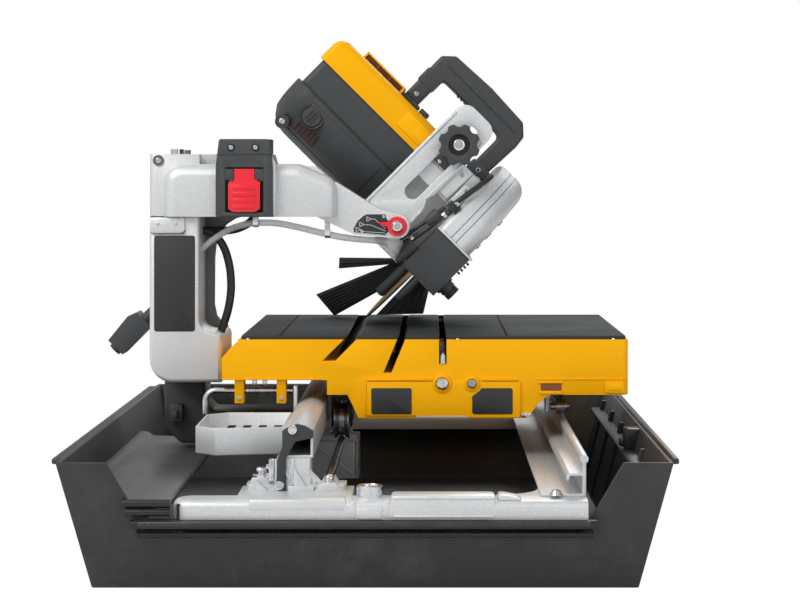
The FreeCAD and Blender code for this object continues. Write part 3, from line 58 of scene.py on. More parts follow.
# camera, lamps and the sky round them
viewSetup = {"place": (0.065, -2.632, 0.430), "lens": 95.9, "sensor": 36.0,
             "shiftX": -0.034, "shiftY": -0.1525}
lightSetup = {
    "key": {"at": (-1.6, -1.9, 2.3), "size": 1.5, "power": 46, "colour": (1, 0.985, 0.96)},
    "fill": {"at": (1.9, -2.1, 1.0), "size": 2.2, "power": 13, "colour": (0.95, 0.975, 1)},
    "rim": {"at": (0.6, 2.0, 2.0), "size": 1.6, "power": 26, "colour": (1, 1, 1)},
}
worldLevel = 0.72
worldLean = (-0.62, -0.35, 0.70)
worldDark = (0.16, 0.165, 0.175, 1)
worldLight = (1, 1, 1, 1)


def addCamera():
    data = bpy.data.cameras.new("sawView")
    data.lens = viewSetup["lens"]
    data.sensor_width = viewSetup["sensor"]
    data.shift_x = viewSetup["shiftX"]
    data.shift_y = viewSetup["shiftY"]
    camera = bpy.data.objects.new("sawView", data)
    camera.location = viewSetup["place"]
    camera.rotation_euler = (math.radians(90), 0, 0)
    bpy.context.scene.collection.objects.link(camera)
    bpy.context.scene.camera = camera


def addLights():
    for name, setup in lightSetup.items():
        data = bpy.data.lights.new(name, "AREA")
        data.size = setup["size"]
        data.energy = setup["power"]
        data.color = setup["colour"]
        lamp = bpy.data.objects.new(name, data)
        lamp.location = setup["at"]
        aim = Vector((0, 0, 0.25)) - lamp.location
        lamp.rotation_euler = aim.to_track_quat("-Z", "Y").to_euler()
        bpy.context.scene.collection.objects.link(lamp)


def addWorld():
    world = bpy.data.worlds.new("studio")
    world.use_nodes = True
    tree = world.node_tree
    lit = tree.nodes["Background"]
    lit.inputs["Strength"].default_value = worldLevel
    # light falls from the upper left: the far right and the floor side stay darker
    spot = tree.nodes.new("ShaderNodeTexCoord")
    lean = tree.nodes.new("ShaderNodeVectorMath")
    lean.operation = "DOT_PRODUCT"
    lean.inputs[1].default_value = worldLean
    spreadOut = tree.nodes.new("ShaderNodeMapRange")
    spreadOut.inputs["From Min"].default_value = -0.9
    spreadOut.inputs["From Max"].default_value = 0.9
    ramp = tree.nodes.new("ShaderNodeMix")
    ramp.data_type = "RGBA"
    ramp.inputs["A"].default_value = worldDark
    ramp.inputs["B"].default_value = worldLight
    tree.links.new(spot.outputs["Generated"], lean.inputs[0])
    tree.links.new(lean.outputs["Value"], spreadOut.inputs["Value"])
    tree.links.new(spreadOut.outputs["Result"], ramp.inputs["Factor"])
    tree.links.new(ramp.outputs["Result"], lit.inputs["Color"])
    path = tree.nodes.new("ShaderNodeLightPath")
    plain = tree.nodes.new("ShaderNodeBackground")
    plain.inputs["Color"].default_value = (1, 1, 1, 1)
    mix = tree.nodes.new("ShaderNodeMixShader")
    tree.links.new(path.outputs["Is Camera Ray"], mix.inputs[0])
    tree.links.new(lit.outputs[0], mix.inputs[1])
    tree.links.new(plain.outputs[0], mix.inputs[2])
    tree.links.new(mix.outputs[0], tree.nodes["World Output"].inputs["Surface"])
    bpy.context.scene.world = world


def addFloor():
    bpy.ops.mesh.primitive_plane_add(size=14)
    floor = bpy.context.object
    floor.name = "studioFloor"
    material = bpy.data.materials.new("paleFloor")
    material.use_nodes = True
    tree = material.node_tree
    shader = tree.nodes["Principled BSDF"]
    shader.inputs["Base Color"].default_value = (0.80, 0.80, 0.80, 1)
    shader.inputs["Roughness"].default_value = 0.8
    pale = tree.nodes.new("ShaderNodeEmission")
    path = tree.nodes.new("ShaderNodeLightPath")
    mix = tree.nodes.new("ShaderNodeMixShader")
    tree.links.new(path.outputs["Is Camera Ray"], mix.inputs[0])
    tree.links.new(shader.outputs[0], mix.inputs[1])
    tree.links.new(pale.outputs[0], mix.inputs[2])
    tree.links.new(mix.outputs[0], tree.nodes["Material Output"].inputs["Surface"])
    floor.data.materials.append(material)


bpy.context.scene.view_settings.view_transform = "Standard"
addCamera()
addLights()
addWorld()
addFloor()
print("camera, light and floor set")


# surface effects that several finishes share
def makeGroup(name, inputs, outputs):
    group = bpy.data.node_groups.new(name, "ShaderNodeTree")
    for label, kind, start in inputs:
        socket = group.interface.new_socket(label, in_out="INPUT", socket_type=kind)
        if start is not None:
            socket.default_value = start
    for label, kind in outputs:
        group.interface.new_socket(label, in_out="OUTPUT", socket_type=kind)
    return group, group.nodes.new("NodeGroupInput"), group.nodes.new("NodeGroupOutput")


def noiseNode(group, vector, scale, detail, rough=0.55):
    noise = group.nodes.new("ShaderNodeTexNoise")
    noise.inputs["Detail"].default_value = detail
    noise.inputs["Roughness"].default_value = rough
    group.links.new(vector, noise.inputs["Vector"])
    if isinstance(scale, float):
        noise.inputs["Scale"].default_value = scale
    else:
        group.links.new(scale, noise.inputs["Scale"])
    return noise.outputs["Fac"]


def spread(group, value, low, high, outLow=0.0, outHigh=1.0):
    node = group.nodes.new("ShaderNodeMapRange")
    for socket, amount in zip(("From Min", "From Max", "To Min", "To Max"), (low, high, outLow, outHigh)):
        if isinstance(amount, (int, float)):
            node.inputs[socket].default_value = amount
        else:
            group.links.new(amount, node.inputs[socket])
    group.links.new(value, node.inputs["Value"])
    return node.outputs["Result"]


def blendColour(group, factor, first, second, mode="MIX"):
    node = group.nodes.new("ShaderNodeMix")
    node.data_type = "RGBA"
    node.blend_type = mode
    group.links.new(factor, node.inputs["Factor"])
    group.links.new(first, node.inputs["A"])
    group.links.new(second, node.inputs["B"])
    return node.outputs["Result"]


def arithmetic(group, operation, first, second):
    node = group.nodes.new("ShaderNodeMath")
    node.operation = operation
    for slot, amount in enumerate((first, second)):
        if isinstance(amount, (int, float)):
            node.inputs[slot].default_value = amount
        else:
            group.links.new(amount, node.inputs[slot])
    return node.outputs[0]


# fine grain over a slow unevenness: painted castings and textured mouldings
def makeGrainGroup():
    group, take, give = makeGroup("surfaceGrain", [
        ("Vector", "NodeSocketVector", None), ("Grain Scale", "NodeSocketFloat", 900.0),
        ("Patch Scale", "NodeSocketFloat", 14.0), ("Grain Depth", "NodeSocketFloat", 0.5),
        ("Body", "NodeSocketColor", (0.5, 0.5, 0.5, 1)), ("Fleck", "NodeSocketColor", (0.6, 0.6, 0.6, 1)),
        ("Rough Low", "NodeSocketFloat", 0.35), ("Rough High", "NodeSocketFloat", 0.55),
    ], [("Colour", "NodeSocketColor"), ("Roughness", "NodeSocketFloat"), ("Height", "NodeSocketFloat")])
    fine = noiseNode(group, take.outputs["Vector"], take.outputs["Grain Scale"], 2.0)
    patch = noiseNode(group, take.outputs["Vector"], take.outputs["Patch Scale"], 4.0)
    grain = spread(group, fine, 0.35, 0.65)
    cloud = spread(group, patch, 0.3, 0.7)
    amount = arithmetic(group, "MULTIPLY", grain, take.outputs["Grain Depth"])
    flecked = blendColour(group, amount, take.outputs["Body"], take.outputs["Fleck"])
    shade = spread(group, patch, 0.3, 0.7, 0.0, 0.16)
    colour = blendColour(group, shade, flecked, take.outputs["Body"])
    group.links.new(colour, give.inputs["Colour"])
    rough = spread(group, cloud, 0.0, 1.0, take.outputs["Rough Low"], take.outputs["Rough High"])
    group.links.new(rough, give.inputs["Roughness"])
    group.links.new(grain, give.inputs["Height"])
    return group


# long streaks along one direction: extruded, drawn, turned or ground metal
def makeStreakGroup():
    group, take, give = makeGroup("metalStreaks", [
        ("Vector", "NodeSocketVector", None), ("Stretch", "NodeSocketVector", (1, 1, 1)),
        ("Streak Scale", "NodeSocketFloat", 300.0),
        ("Body", "NodeSocketColor", (0.6, 0.6, 0.6, 1)), ("Streak", "NodeSocketColor", (0.5, 0.5, 0.5, 1)),
        ("Rough Low", "NodeSocketFloat", 0.25), ("Rough High", "NodeSocketFloat", 0.45),
    ], [("Colour", "NodeSocketColor"), ("Roughness", "NodeSocketFloat"), ("Height", "NodeSocketFloat")])
    stretch = group.nodes.new("ShaderNodeVectorMath")
    stretch.operation = "MULTIPLY"
    group.links.new(take.outputs["Vector"], stretch.inputs[0])
    group.links.new(take.outputs["Stretch"], stretch.inputs[1])
    streak = noiseNode(group, stretch.outputs[0], take.outputs["Streak Scale"], 3.0)
    broad = noiseNode(group, take.outputs["Vector"], 22.0, 3.0)
    lines = spread(group, streak, 0.3, 0.7)
    colour = blendColour(group, lines, take.outputs["Body"], take.outputs["Streak"])
    group.links.new(colour, give.inputs["Colour"])
    mixed = arithmetic(group, "MULTIPLY", lines, spread(group, broad, 0.25, 0.75, 0.5, 1.0))
    rough = spread(group, mixed, 0.0, 1.0, take.outputs["Rough Low"], take.outputs["Rough High"])
    group.links.new(rough, give.inputs["Roughness"])
    group.links.new(lines, give.inputs["Height"])
    return group


# dried splash marks and dust that gather low down and on flat tops
def makeDustGroup():
    group, take, give = makeGroup("dustFilm", [
        ("Vector", "NodeSocketVector", None), ("Clean", "NodeSocketColor", (0.1, 0.1, 0.1, 1)),
        ("Dust", "NodeSocketColor", (0.3, 0.3, 0.3, 1)), ("Amount", "NodeSocketFloat", 0.2),
        ("Spot Scale", "NodeSocketFloat", 60.0),
    ], [("Colour", "NodeSocketColor"), ("Mask", "NodeSocketFloat")])
    spots = noiseNode(group, take.outputs["Vector"], take.outputs["Spot Scale"], 6.0, 0.7)
    drift = noiseNode(group, take.outputs["Vector"], 9.0, 3.0)
    mask = arithmetic(group, "MULTIPLY", spread(group, spots, 0.45, 0.75), spread(group, drift, 0.35, 0.65))
    scaled = arithmetic(group, "MULTIPLY", mask, take.outputs["Amount"])
    colour = blendColour(group, scaled, take.outputs["Clean"], take.outputs["Dust"])
    group.links.new(colour, give.inputs["Colour"])
    group.links.new(scaled, give.inputs["Mask"])
    return group


grainGroup = makeGrainGroup()
streakGroup = makeStreakGroup()
dustGroup = makeDustGroup()


def plainMaterial(name, metallic=0.0, coat=0.0, specular=0.5):
    material = bpy.data.materials.new(name)
    material.use_nodes = True
    shader = material.node_tree.nodes["Principled BSDF"]
    shader.inputs["Metallic"].default_value = metallic
    shader.inputs["Coat Weight"].default_value = coat
    shader.inputs["Coat Roughness"].default_value = 0.2
    shader.inputs["Specular IOR Level"].default_value = specular
    return material, material.node_tree, shader


def placeGroup(tree, group, values):
    node = tree.nodes.new("ShaderNodeGroup")
    node.node_tree = group
    for label, amount in values.items():
        if isinstance(amount, tuple) and len(amount) == 3 and label != "Stretch":
            amount = (*amount, 1)
        node.inputs[label].default_value = amount
    spot = tree.nodes.new("ShaderNodeTexCoord")
    tree.links.new(spot.outputs["Object"], node.inputs["Vector"])
    return node


def addBump(tree, shader, height, strength, distance):
    bump = tree.nodes.new("ShaderNodeBump")
    bump.inputs["Strength"].default_value = strength
    bump.inputs["Distance"].default_value = distance
    tree.links.new(height, bump.inputs["Height"])
    tree.links.new(bump.outputs["Normal"], shader.inputs["Normal"])


def grainMaterial(name, grain, dust=None, metallic=0.0, coat=0.0, specular=0.5, bump=(0.3, 0.0002)):
    material, tree, shader = plainMaterial(name, metallic, coat, specular)
    skin = placeGroup(tree, grainGroup, grain)
    colour = skin.outputs["Colour"]
    if dust:
        film = placeGroup(tree, dustGroup, dust)
        tree.links.new(colour, film.inputs["Clean"])
        colour = film.outputs["Colour"]
    tree.links.new(colour, shader.inputs["Base Color"])
    tree.links.new(skin.outputs["Roughness"], shader.inputs["Roughness"])
    addBump(tree, shader, skin.outputs["Height"], *bump)
    return material


def streakMaterial(name, streak, metallic=1.0, dust=None, bump=(0.12, 0.0001)):
    material, tree, shader = plainMaterial(name, metallic)
    skin = placeGroup(tree, streakGroup, streak)
    colour = skin.outputs["Colour"]
    if dust:
        film = placeGroup(tree, dustGroup, dust)
        tree.links.new(colour, film.inputs["Clean"])
        colour = film.outputs["Colour"]
    tree.links.new(colour, shader.inputs["Base Color"])
    tree.links.new(skin.outputs["Roughness"], shader.inputs["Roughness"])
    addBump(tree, shader, skin.outputs["Height"], *bump)
    return material


def clearMaterial(name, tint):
    material, tree, shader = plainMaterial(name)
    skin = placeGroup(tree, grainGroup, {
        "Body": tint, "Fleck": tuple(c * 0.9 for c in tint), "Grain Scale": 60.0,
        "Patch Scale": 25.0, "Grain Depth": 0.5, "Rough Low": 0.12, "Rough High": 0.3})
    tree.links.new(skin.outputs["Colour"], shader.inputs["Base Color"])
    tree.links.new(skin.outputs["Roughness"], shader.inputs["Roughness"])
    shader.inputs["Alpha"].default_value = 0.62
    return material


finishes = {
    "castSilver": grainMaterial("castSilver", {
        "Body": (0.76, 0.775, 0.785), "Fleck": (0.53, 0.545, 0.56), "Grain Scale": 850.0,
        "Patch Scale": 16.0, "Grain Depth": 0.55, "Rough Low": 0.34, "Rough High": 0.46},
        dust={"Dust": (0.45, 0.45, 0.44), "Amount": 0.12, "Spot Scale": 70.0},
        metallic=0.45, bump=(0.35, 0.0003)),
    "darkCasting": grainMaterial("darkCasting", {
        "Body": (0.035, 0.037, 0.04), "Fleck": (0.06, 0.063, 0.067), "Grain Scale": 700.0,
        "Patch Scale": 20.0, "Grain Depth": 0.5, "Rough Low": 0.35, "Rough High": 0.5},
        metallic=0.2, bump=(0.35, 0.0003)),
    "blackMoulding": grainMaterial("blackMoulding", {
        "Body": (0.046, 0.050, 0.054), "Fleck": (0.070, 0.075, 0.080), "Grain Scale": 1100.0,
        "Patch Scale": 12.0, "Grain Depth": 0.6, "Rough Low": 0.38, "Rough High": 0.5},
        dust={"Dust": (0.2, 0.2, 0.2), "Amount": 0.1, "Spot Scale": 80.0},
        specular=0.34, bump=(0.25, 0.0002)),
    "panMoulding": grainMaterial("panMoulding", {
        "Body": (0.020, 0.021, 0.023), "Fleck": (0.036, 0.038, 0.040), "Grain Scale": 600.0,
        "Patch Scale": 7.0, "Grain Depth": 0.6, "Rough Low": 0.30, "Rough High": 0.44},
        dust={"Dust": (0.16, 0.16, 0.155), "Amount": 0.22, "Spot Scale": 34.0}, bump=(0.3, 0.0003)),
    "yellowMoulding": grainMaterial("yellowMoulding", {
        "Body": (1.0, 0.475, 0.001), "Fleck": (0.95, 0.42, 0.001), "Grain Scale": 500.0,
        "Patch Scale": 9.0, "Grain Depth": 0.35, "Rough Low": 0.36, "Rough High": 0.46},
        coat=0.0, specular=0.12, bump=(0.12, 0.00015)),
    "padRubber": grainMaterial("padRubber", {
        "Body": (0.040, 0.044, 0.047), "Fleck": (0.058, 0.063, 0.067), "Grain Scale": 1300.0,
        "Patch Scale": 8.0, "Grain Depth": 0.7, "Rough Low": 0.55, "Rough High": 0.7},
        dust={"Dust": (0.12, 0.12, 0.12), "Amount": 0.16, "Spot Scale": 30.0},
        specular=0.08, bump=(0.5, 0.0003)),
    "flapRubber": grainMaterial("flapRubber", {
        "Body": (0.016, 0.017, 0.018), "Fleck": (0.028, 0.030, 0.032), "Grain Scale": 800.0,
        "Patch Scale": 15.0, "Grain Depth": 0.5, "Rough Low": 0.42, "Rough High": 0.6},
        specular=0.45, bump=(0.3, 0.0003)),
    "leadRubber": grainMaterial("leadRubber", {
        "Body": (0.014, 0.015, 0.016), "Fleck": (0.022, 0.023, 0.025), "Grain Scale": 600.0,
        "Patch Scale": 20.0, "Grain Depth": 0.4, "Rough Low": 0.32, "Rough High": 0.45},
        bump=(0.15, 0.0002)),
    "redPlastic": grainMaterial("redPlastic", {
        "Body": (0.86, 0.012, 0.030), "Fleck": (0.76, 0.010, 0.024), "Grain Scale": 500.0,
        "Patch Scale": 20.0, "Grain Depth": 0.3, "Rough Low": 0.26, "Rough High": 0.36},
        coat=0.1, bump=(0.1, 0.0001)),
    "railAluminium": streakMaterial("railAluminium", {
        "Stretch": (1, 0.02, 1), "Streak Scale": 420.0, "Body": (0.70, 0.715, 0.73),
        "Streak": (0.56, 0.575, 0.59), "Rough Low": 0.36, "Rough High": 0.50}, metallic=0.5,
        dust={"Dust": (0.4, 0.4, 0.39), "Amount": 0.15, "Spot Scale": 60.0}),
    "chrome": streakMaterial("chrome", {
        "Stretch": (1, 1, 1), "Streak Scale": 160.0, "Body": (0.74, 0.75, 0.77),
        "Streak": (0.66, 0.67, 0.69), "Rough Low": 0.12, "Rough High": 0.22}),
    "turnedSteel": streakMaterial("turnedSteel", {
        "Stretch": (1, 0.2, 0.2), "Streak Scale": 500.0, "Body": (0.52, 0.53, 0.54),
        "Streak": (0.40, 0.41, 0.42), "Rough Low": 0.24, "Rough High": 0.4}),
    "bladeSteel": streakMaterial("bladeSteel", {
        "Stretch": (0.2, 1, 1), "Streak Scale": 260.0, "Body": (0.55, 0.34, 0.15),
        "Streak": (0.40, 0.22, 0.08), "Rough Low": 0.26, "Rough High": 0.42}),
    "copperWinding": streakMaterial("copperWinding", {
        "Stretch": (0.3, 1, 1), "Streak Scale": 900.0, "Body": (0.55, 0.24, 0.10),
        "Streak": (0.42, 0.16, 0.06), "Rough Low": 0.3, "Rough High": 0.5}),
    # painted shade: dark brown and dim yellow copies of the yellow moulding, for hollows drawn as if the
    # light does not reach them (hood slots, barrel vents, hand hollow)
    "paintedDeepShadeBrown": grainMaterial("paintedDeepShadeBrown", {
        "Body": (0.060, 0.014, 0.004), "Fleck": (0.040, 0.010, 0.004), "Grain Scale": 700.0,
        "Patch Scale": 20.0, "Grain Depth": 0.5, "Rough Low": 0.5, "Rough High": 0.65},
        bump=(0.2, 0.0002)),
    "paintedSoftShadeYellow": grainMaterial("paintedSoftShadeYellow", {
        "Body": (0.24, 0.075, 0.012), "Fleck": (0.18, 0.05, 0.01), "Grain Scale": 700.0,
        "Patch Scale": 20.0, "Grain Depth": 0.5, "Rough Low": 0.45, "Rough High": 0.6},
        bump=(0.2, 0.0002)),
    "plateBlack": grainMaterial("plateBlack", {
        "Body": (0.022, 0.023, 0.025), "Fleck": (0.030, 0.032, 0.034), "Grain Scale": 1400.0,
        "Patch Scale": 18.0, "Grain Depth": 0.4, "Rough Low": 0.42, "Rough High": 0.52},
        bump=(0.1, 0.0001)),
    "markWhite": grainMaterial("markWhite", {
        "Body": (0.72, 0.72, 0.72), "Fleck": (0.62, 0.62, 0.62), "Grain Scale": 900.0,
        "Patch Scale": 30.0, "Grain Depth": 0.4, "Rough Low": 0.45, "Rough High": 0.55},
        bump=(0.1, 0.0001)),
    # painted shade: a dark grey copy of the silver casting for faces drawn as if in shadow (column web, under
    # the clamp, round the corner screw); the same grey also draws seam lines on the gearbox and guard
    "shadedCasting": grainMaterial("shadedCasting", {
        "Body": (0.16, 0.166, 0.172), "Fleck": (0.11, 0.114, 0.12), "Grain Scale": 850.0,
        "Patch Scale": 16.0, "Grain Depth": 0.5, "Rough Low": 0.38, "Rough High": 0.5},
        metallic=0.35, bump=(0.35, 0.0003)),
    # painted shade: near-black for flush strips that stand in for the shade in grooves and slots
    "paintedGrooveShade": grainMaterial("paintedGrooveShade", {
        "Body": (0.007, 0.007, 0.008), "Fleck": (0.012, 0.012, 0.013), "Grain Scale": 900.0,
        "Patch Scale": 20.0, "Grain Depth": 0.4, "Rough Low": 0.7, "Rough High": 0.85},
        specular=0.08, bump=(0.1, 0.0001)),
    # painted sheen: the black shelf drawn lighter grey for its grazing reflection, with dust spots over it
    "shelfSheenAndDustGrey": grainMaterial("shelfSheenAndDustGrey", {
        "Body": (0.080, 0.084, 0.088), "Fleck": (0.105, 0.109, 0.113), "Grain Scale": 700.0,
        "Patch Scale": 10.0, "Grain Depth": 0.6, "Rough Low": 0.30, "Rough High": 0.42},
        dust={"Dust": (0.2, 0.2, 0.2), "Amount": 0.25, "Spot Scale": 36.0}, bump=(0.25, 0.0002)),
    "panGloss": grainMaterial("panGloss", {
        "Body": (0.012, 0.012, 0.013), "Fleck": (0.020, 0.021, 0.022), "Grain Scale": 700.0,
        "Patch Scale": 16.0, "Grain Depth": 0.4, "Rough Low": 0.16, "Rough High": 0.26},
        bump=(0.1, 0.0001)),
    "clearTube": clearMaterial("clearTube", (0.62, 0.64, 0.66)),
}
slotFinish = {
    "pan_plastic": "panMoulding", "black_plastic": "blackMoulding", "cast_silver": "castSilver",
    "rail_aluminium": "railAluminium", "dark_casting": "darkCasting",
    "yellow_plastic": "yellowMoulding", "pad_rubber": "padRubber", "flap_rubber": "flapRubber",
    "chrome": "chrome", "steel": "turnedSteel", "blade_steel": "bladeSteel",
    "red_plastic": "redPlastic", "clear_tube": "clearTube", "lead_rubber": "leadRubber",
    "copper_winding": "copperWinding",
}


def dressNodes():
    for row in frame["record"]["subparts"]:
        mesh = nodes[row["node"]].data
        mesh.materials.clear()
        mesh.materials.append(finishes[slotFinish[row["material_slot"]]])


dressNodes()
print("finishes made and given to every node")


# the body and the finish slot of each node
bodyOf = {name: body for body, names in frame["record"]["behaviour"]["bodies"].items() for name in names}
slotOf = {row["node"]: row["material_slot"] for row in frame["record"]["subparts"]}


def keepMesh(name, mesh, finish, body, smoothAngle=32):
    mesh.materials.clear()
    mesh.materials.append(finishes[finish])
    mesh.polygons.foreach_set("use_smooth", [True] * len(mesh.polygons))
    mesh.set_sharp_from_angle(angle=math.radians(smoothAngle))
    piece = bpy.data.objects.new(name, mesh)
    bpy.context.scene.collection.objects.link(piece)
    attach(piece, body)
    return piece


def settle(piece):
    # bake live modifiers into a plain mesh
    bpy.context.view_layer.update()
    seen = piece.evaluated_get(bpy.context.evaluated_depsgraph_get())
    mesh = bpy.data.meshes.new_from_object(seen)
    bpy.data.objects.remove(piece)
    return mesh


def loose(mesh):
    piece = bpy.data.objects.new("loose", mesh)
    bpy.context.scene.collection.objects.link(piece)
    return piece


def meshFrom(bm):
    mesh = bpy.data.meshes.new("shape")
    bm.to_mesh(mesh)
    bm.free()
    return mesh


def softened(mesh, width, segments=2, angle=30):
    piece = loose(mesh)
    bevel = piece.modifiers.new("edges", "BEVEL")
    bevel.width = width
    bevel.segments = segments
    bevel.limit_method = "ANGLE"
    bevel.angle_limit = math.radians(angle)
    return settle(piece)


# an outline in x and z, given thickness in y, both in metres
def slab(outline, near, far):
    bm = bmesh.new()
    front = [bm.verts.new((x, near, z)) for x, z in outline]
    back = [bm.verts.new((x, far, z)) for x, z in outline]
    count = len(outline)
    bm.faces.new(front)
    bm.faces.new(back[::-1])
    for i in range(count):
        k = (i + 1) % count
        bm.faces.new((front[k], front[i], back[i], back[k]))
    bmesh.ops.recalc_face_normals(bm, faces=bm.faces)
    return meshFrom(bm)


def turned(profile, steps=48):
    # profile of (radius, height) about z, closed at its ends
    bm = bmesh.new()
    rings = []
    for radius, height in profile:
        if radius < 1e-6:
            rings.append([bm.verts.new((0, 0, height))])
            continue
        rings.append([bm.verts.new((radius * math.cos(2 * math.pi * i / steps),
                                    radius * math.sin(2 * math.pi * i / steps), height))
                      for i in range(steps)])
    for low, high in zip(rings, rings[1:]):
        for i in range(steps):
            k = (i + 1) % steps
            if len(low) == 1:
                bm.faces.new((low[0], high[k], high[i]))
            elif len(high) == 1:
                bm.faces.new((low[i], low[k], high[0]))
            else:
                bm.faces.new((low[i], low[k], high[k], high[i]))
    bmesh.ops.recalc_face_normals(bm, faces=bm.faces)
    return meshFrom(bm)


def roundedOutline(left, right, low, high, corner, steps=4):
    points = []
    for cx, cz, start in ((right - corner, high - corner, 0), (left + corner, high - corner, 90),
                          (left + corner, low + corner, 180), (right - corner, low + corner, 270)):
        for i in range(steps + 1):
            turn = math.radians(start + 90 * i / steps)
            points.append((cx + corner * math.cos(turn), cz + corner * math.sin(turn)))
    return points


def gather(meshes):
    bm = bmesh.new()
    for mesh in meshes:
        bm.from_mesh(mesh)
        bpy.data.meshes.remove(mesh)
    return meshFrom(bm)


def pipe(points, radius, sides=16):
    curve = bpy.data.curves.new("run", "CURVE")
    curve.dimensions = "3D"
    spline = curve.splines.new("NURBS")
    spline.points.add(len(points) - 1)
    for point, place in zip(spline.points, points):
        point.co = (*place, 1)
    spline.order_u = 3
    spline.use_endpoint_u = True
    spline.resolution_u = 12
    curve.bevel_depth = radius
    curve.bevel_resolution = sides // 4
    curve.use_fill_caps = True
    return settle(loose(curve))


# width of the worked edges, in millimetres
edgeRadius = {
    "water_pan": 1.6, "front_beam": 1.6, "rear_beam": 1.6, "rail_supports": 1.4, "left_rail": 0.8,
    "right_rail": 0.7, "rail_end_bracket": 1.0, "accessory_tray": 1.0, "column_foot": 3.0,
    "column": 2.0, "arm": 2.0, "switch_box": 1.6, "pump_outlet": 1.6, "lock_bracket": 0.6,
    "bevel_bracket": 1.3, "bevel_lock_knob": 0.8, "plunge_knob": 1.6, "slider_block": 0.8,
    "gearbox_housing": 2.0, "motor_cover": 1.6, "motor_housing": 1.4, "motor_end_cap": 0.9,
    "handle": 3.6, "cart_shell": 1.6, "cart_pads": 0.7, "left_roller_forks": 0.8,
    "right_roller_plates": 0.6, "blade_guard": 0.9, "guard_skirt": 4.0, "guard_water_pipe": 0.6,
    "switch_paddle": 1.0, "arbor_nut": 0.6, "bevel_pointer": 0.3,
}


weldDistance = 2e-6     # metres
flatAngle = 0.6
wideEdge = 3            # wider edges than this are drawn with more steps


def workedEdges(node, width):
    bm = bmesh.new()
    bm.from_mesh(nodes[node].data)
    bmesh.ops.remove_doubles(bm, verts=bm.verts, dist=weldDistance)
    bmesh.ops.dissolve_limit(bm, angle_limit=math.radians(flatAngle), verts=bm.verts,
                             edges=bm.edges)
    mesh = softened(meshFrom(bm), width * mm, segments=4 if width > wideEdge else 2)
    piece = keepMesh(node + "_worked", mesh, slotFinish[slotOf[node]], bodyOf[node])
    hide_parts(node)
    return piece


for node, width in edgeRadius.items():
    workedEdges(node, width)
print("edges worked on", len(edgeRadius), "pieces")


# a button head with a hexagon socket, standing on z = 0
def socketHead(radius, height, across):
    bm = bmesh.new()
    steps = 24

    def circle(size, level):
        return [bm.verts.new((size * math.cos(2 * math.pi * i / steps),
                              size * math.sin(2 * math.pi * i / steps), level)) for i in range(steps)]

    def hexagon(size, level):
        points = []
        for i in range(steps):
            turn = 2 * math.pi * i / steps
            reach = size / math.cos((turn + math.pi / 6) % (math.pi / 3) - math.pi / 6)
            points.append(bm.verts.new((reach * math.cos(turn), reach * math.sin(turn), level)))
        return points

    rings = [circle(radius, 0), circle(radius, height * 0.55), circle(radius * 0.9, height * 0.88),
             circle(radius * 0.74, height), hexagon(across, height), hexagon(across * 0.93, height * 0.25)]
    for low, high in zip(rings, rings[1:]):
        for i in range(steps):
            k = (i + 1) % steps
            bm.faces.new((low[i], low[k], high[k], high[i]))
    bm.faces.new(rings[0][::-1])
    bm.faces.new(rings[-1])
    bmesh.ops.recalc_face_normals(bm, faces=bm.faces)
    return meshFrom(bm)


# heads set on a list of points: each point has its own size and facing
def makeScatterTree():
    tree = bpy.data.node_groups.new("scatterHeads", "GeometryNodeTree")
    for label, kind in (("Points", "NodeSocketGeometry"), ("Head", "NodeSocketObject"),
                        ("Size", "NodeSocketFloat"), ("Finish", "NodeSocketMaterial")):
        tree.interface.new_socket(label, in_out="INPUT", socket_type=kind)
    tree.interface.new_socket("Geometry", in_out="OUTPUT", socket_type="NodeSocketGeometry")
    take = tree.nodes.new("NodeGroupInput")
    give = tree.nodes.new("NodeGroupOutput")
    source = tree.nodes.new("GeometryNodeObjectInfo")
    facing = tree.nodes.new("GeometryNodeInputNamedAttribute")
    facing.data_type = "FLOAT_VECTOR"
    facing.inputs["Name"].default_value = "facing"
    grow = tree.nodes.new("GeometryNodeInputNamedAttribute")
    grow.data_type = "FLOAT"
    grow.inputs["Name"].default_value = "grow"
    size = tree.nodes.new("ShaderNodeMath")
    size.operation = "MULTIPLY"
    spots = tree.nodes.new("GeometryNodeInstanceOnPoints")
    real = tree.nodes.new("GeometryNodeRealizeInstances")
    paint = tree.nodes.new("GeometryNodeSetMaterial")
    tree.links.new(take.outputs["Head"], source.inputs["Object"])
    tree.links.new(take.outputs["Points"], spots.inputs["Points"])
    tree.links.new(source.outputs["Geometry"], spots.inputs["Instance"])
    tree.links.new(facing.outputs["Attribute"], spots.inputs["Rotation"])
    tree.links.new(grow.outputs["Attribute"], size.inputs[0])
    tree.links.new(take.outputs["Size"], size.inputs[1])
    tree.links.new(size.outputs[0], spots.inputs["Scale"])
    tree.links.new(spots.outputs["Instances"], real.inputs["Geometry"])
    tree.links.new(real.outputs["Geometry"], paint.inputs["Geometry"])
    tree.links.new(take.outputs["Finish"], paint.inputs["Material"])
    tree.links.new(paint.outputs["Geometry"], give.inputs["Geometry"])
    return tree


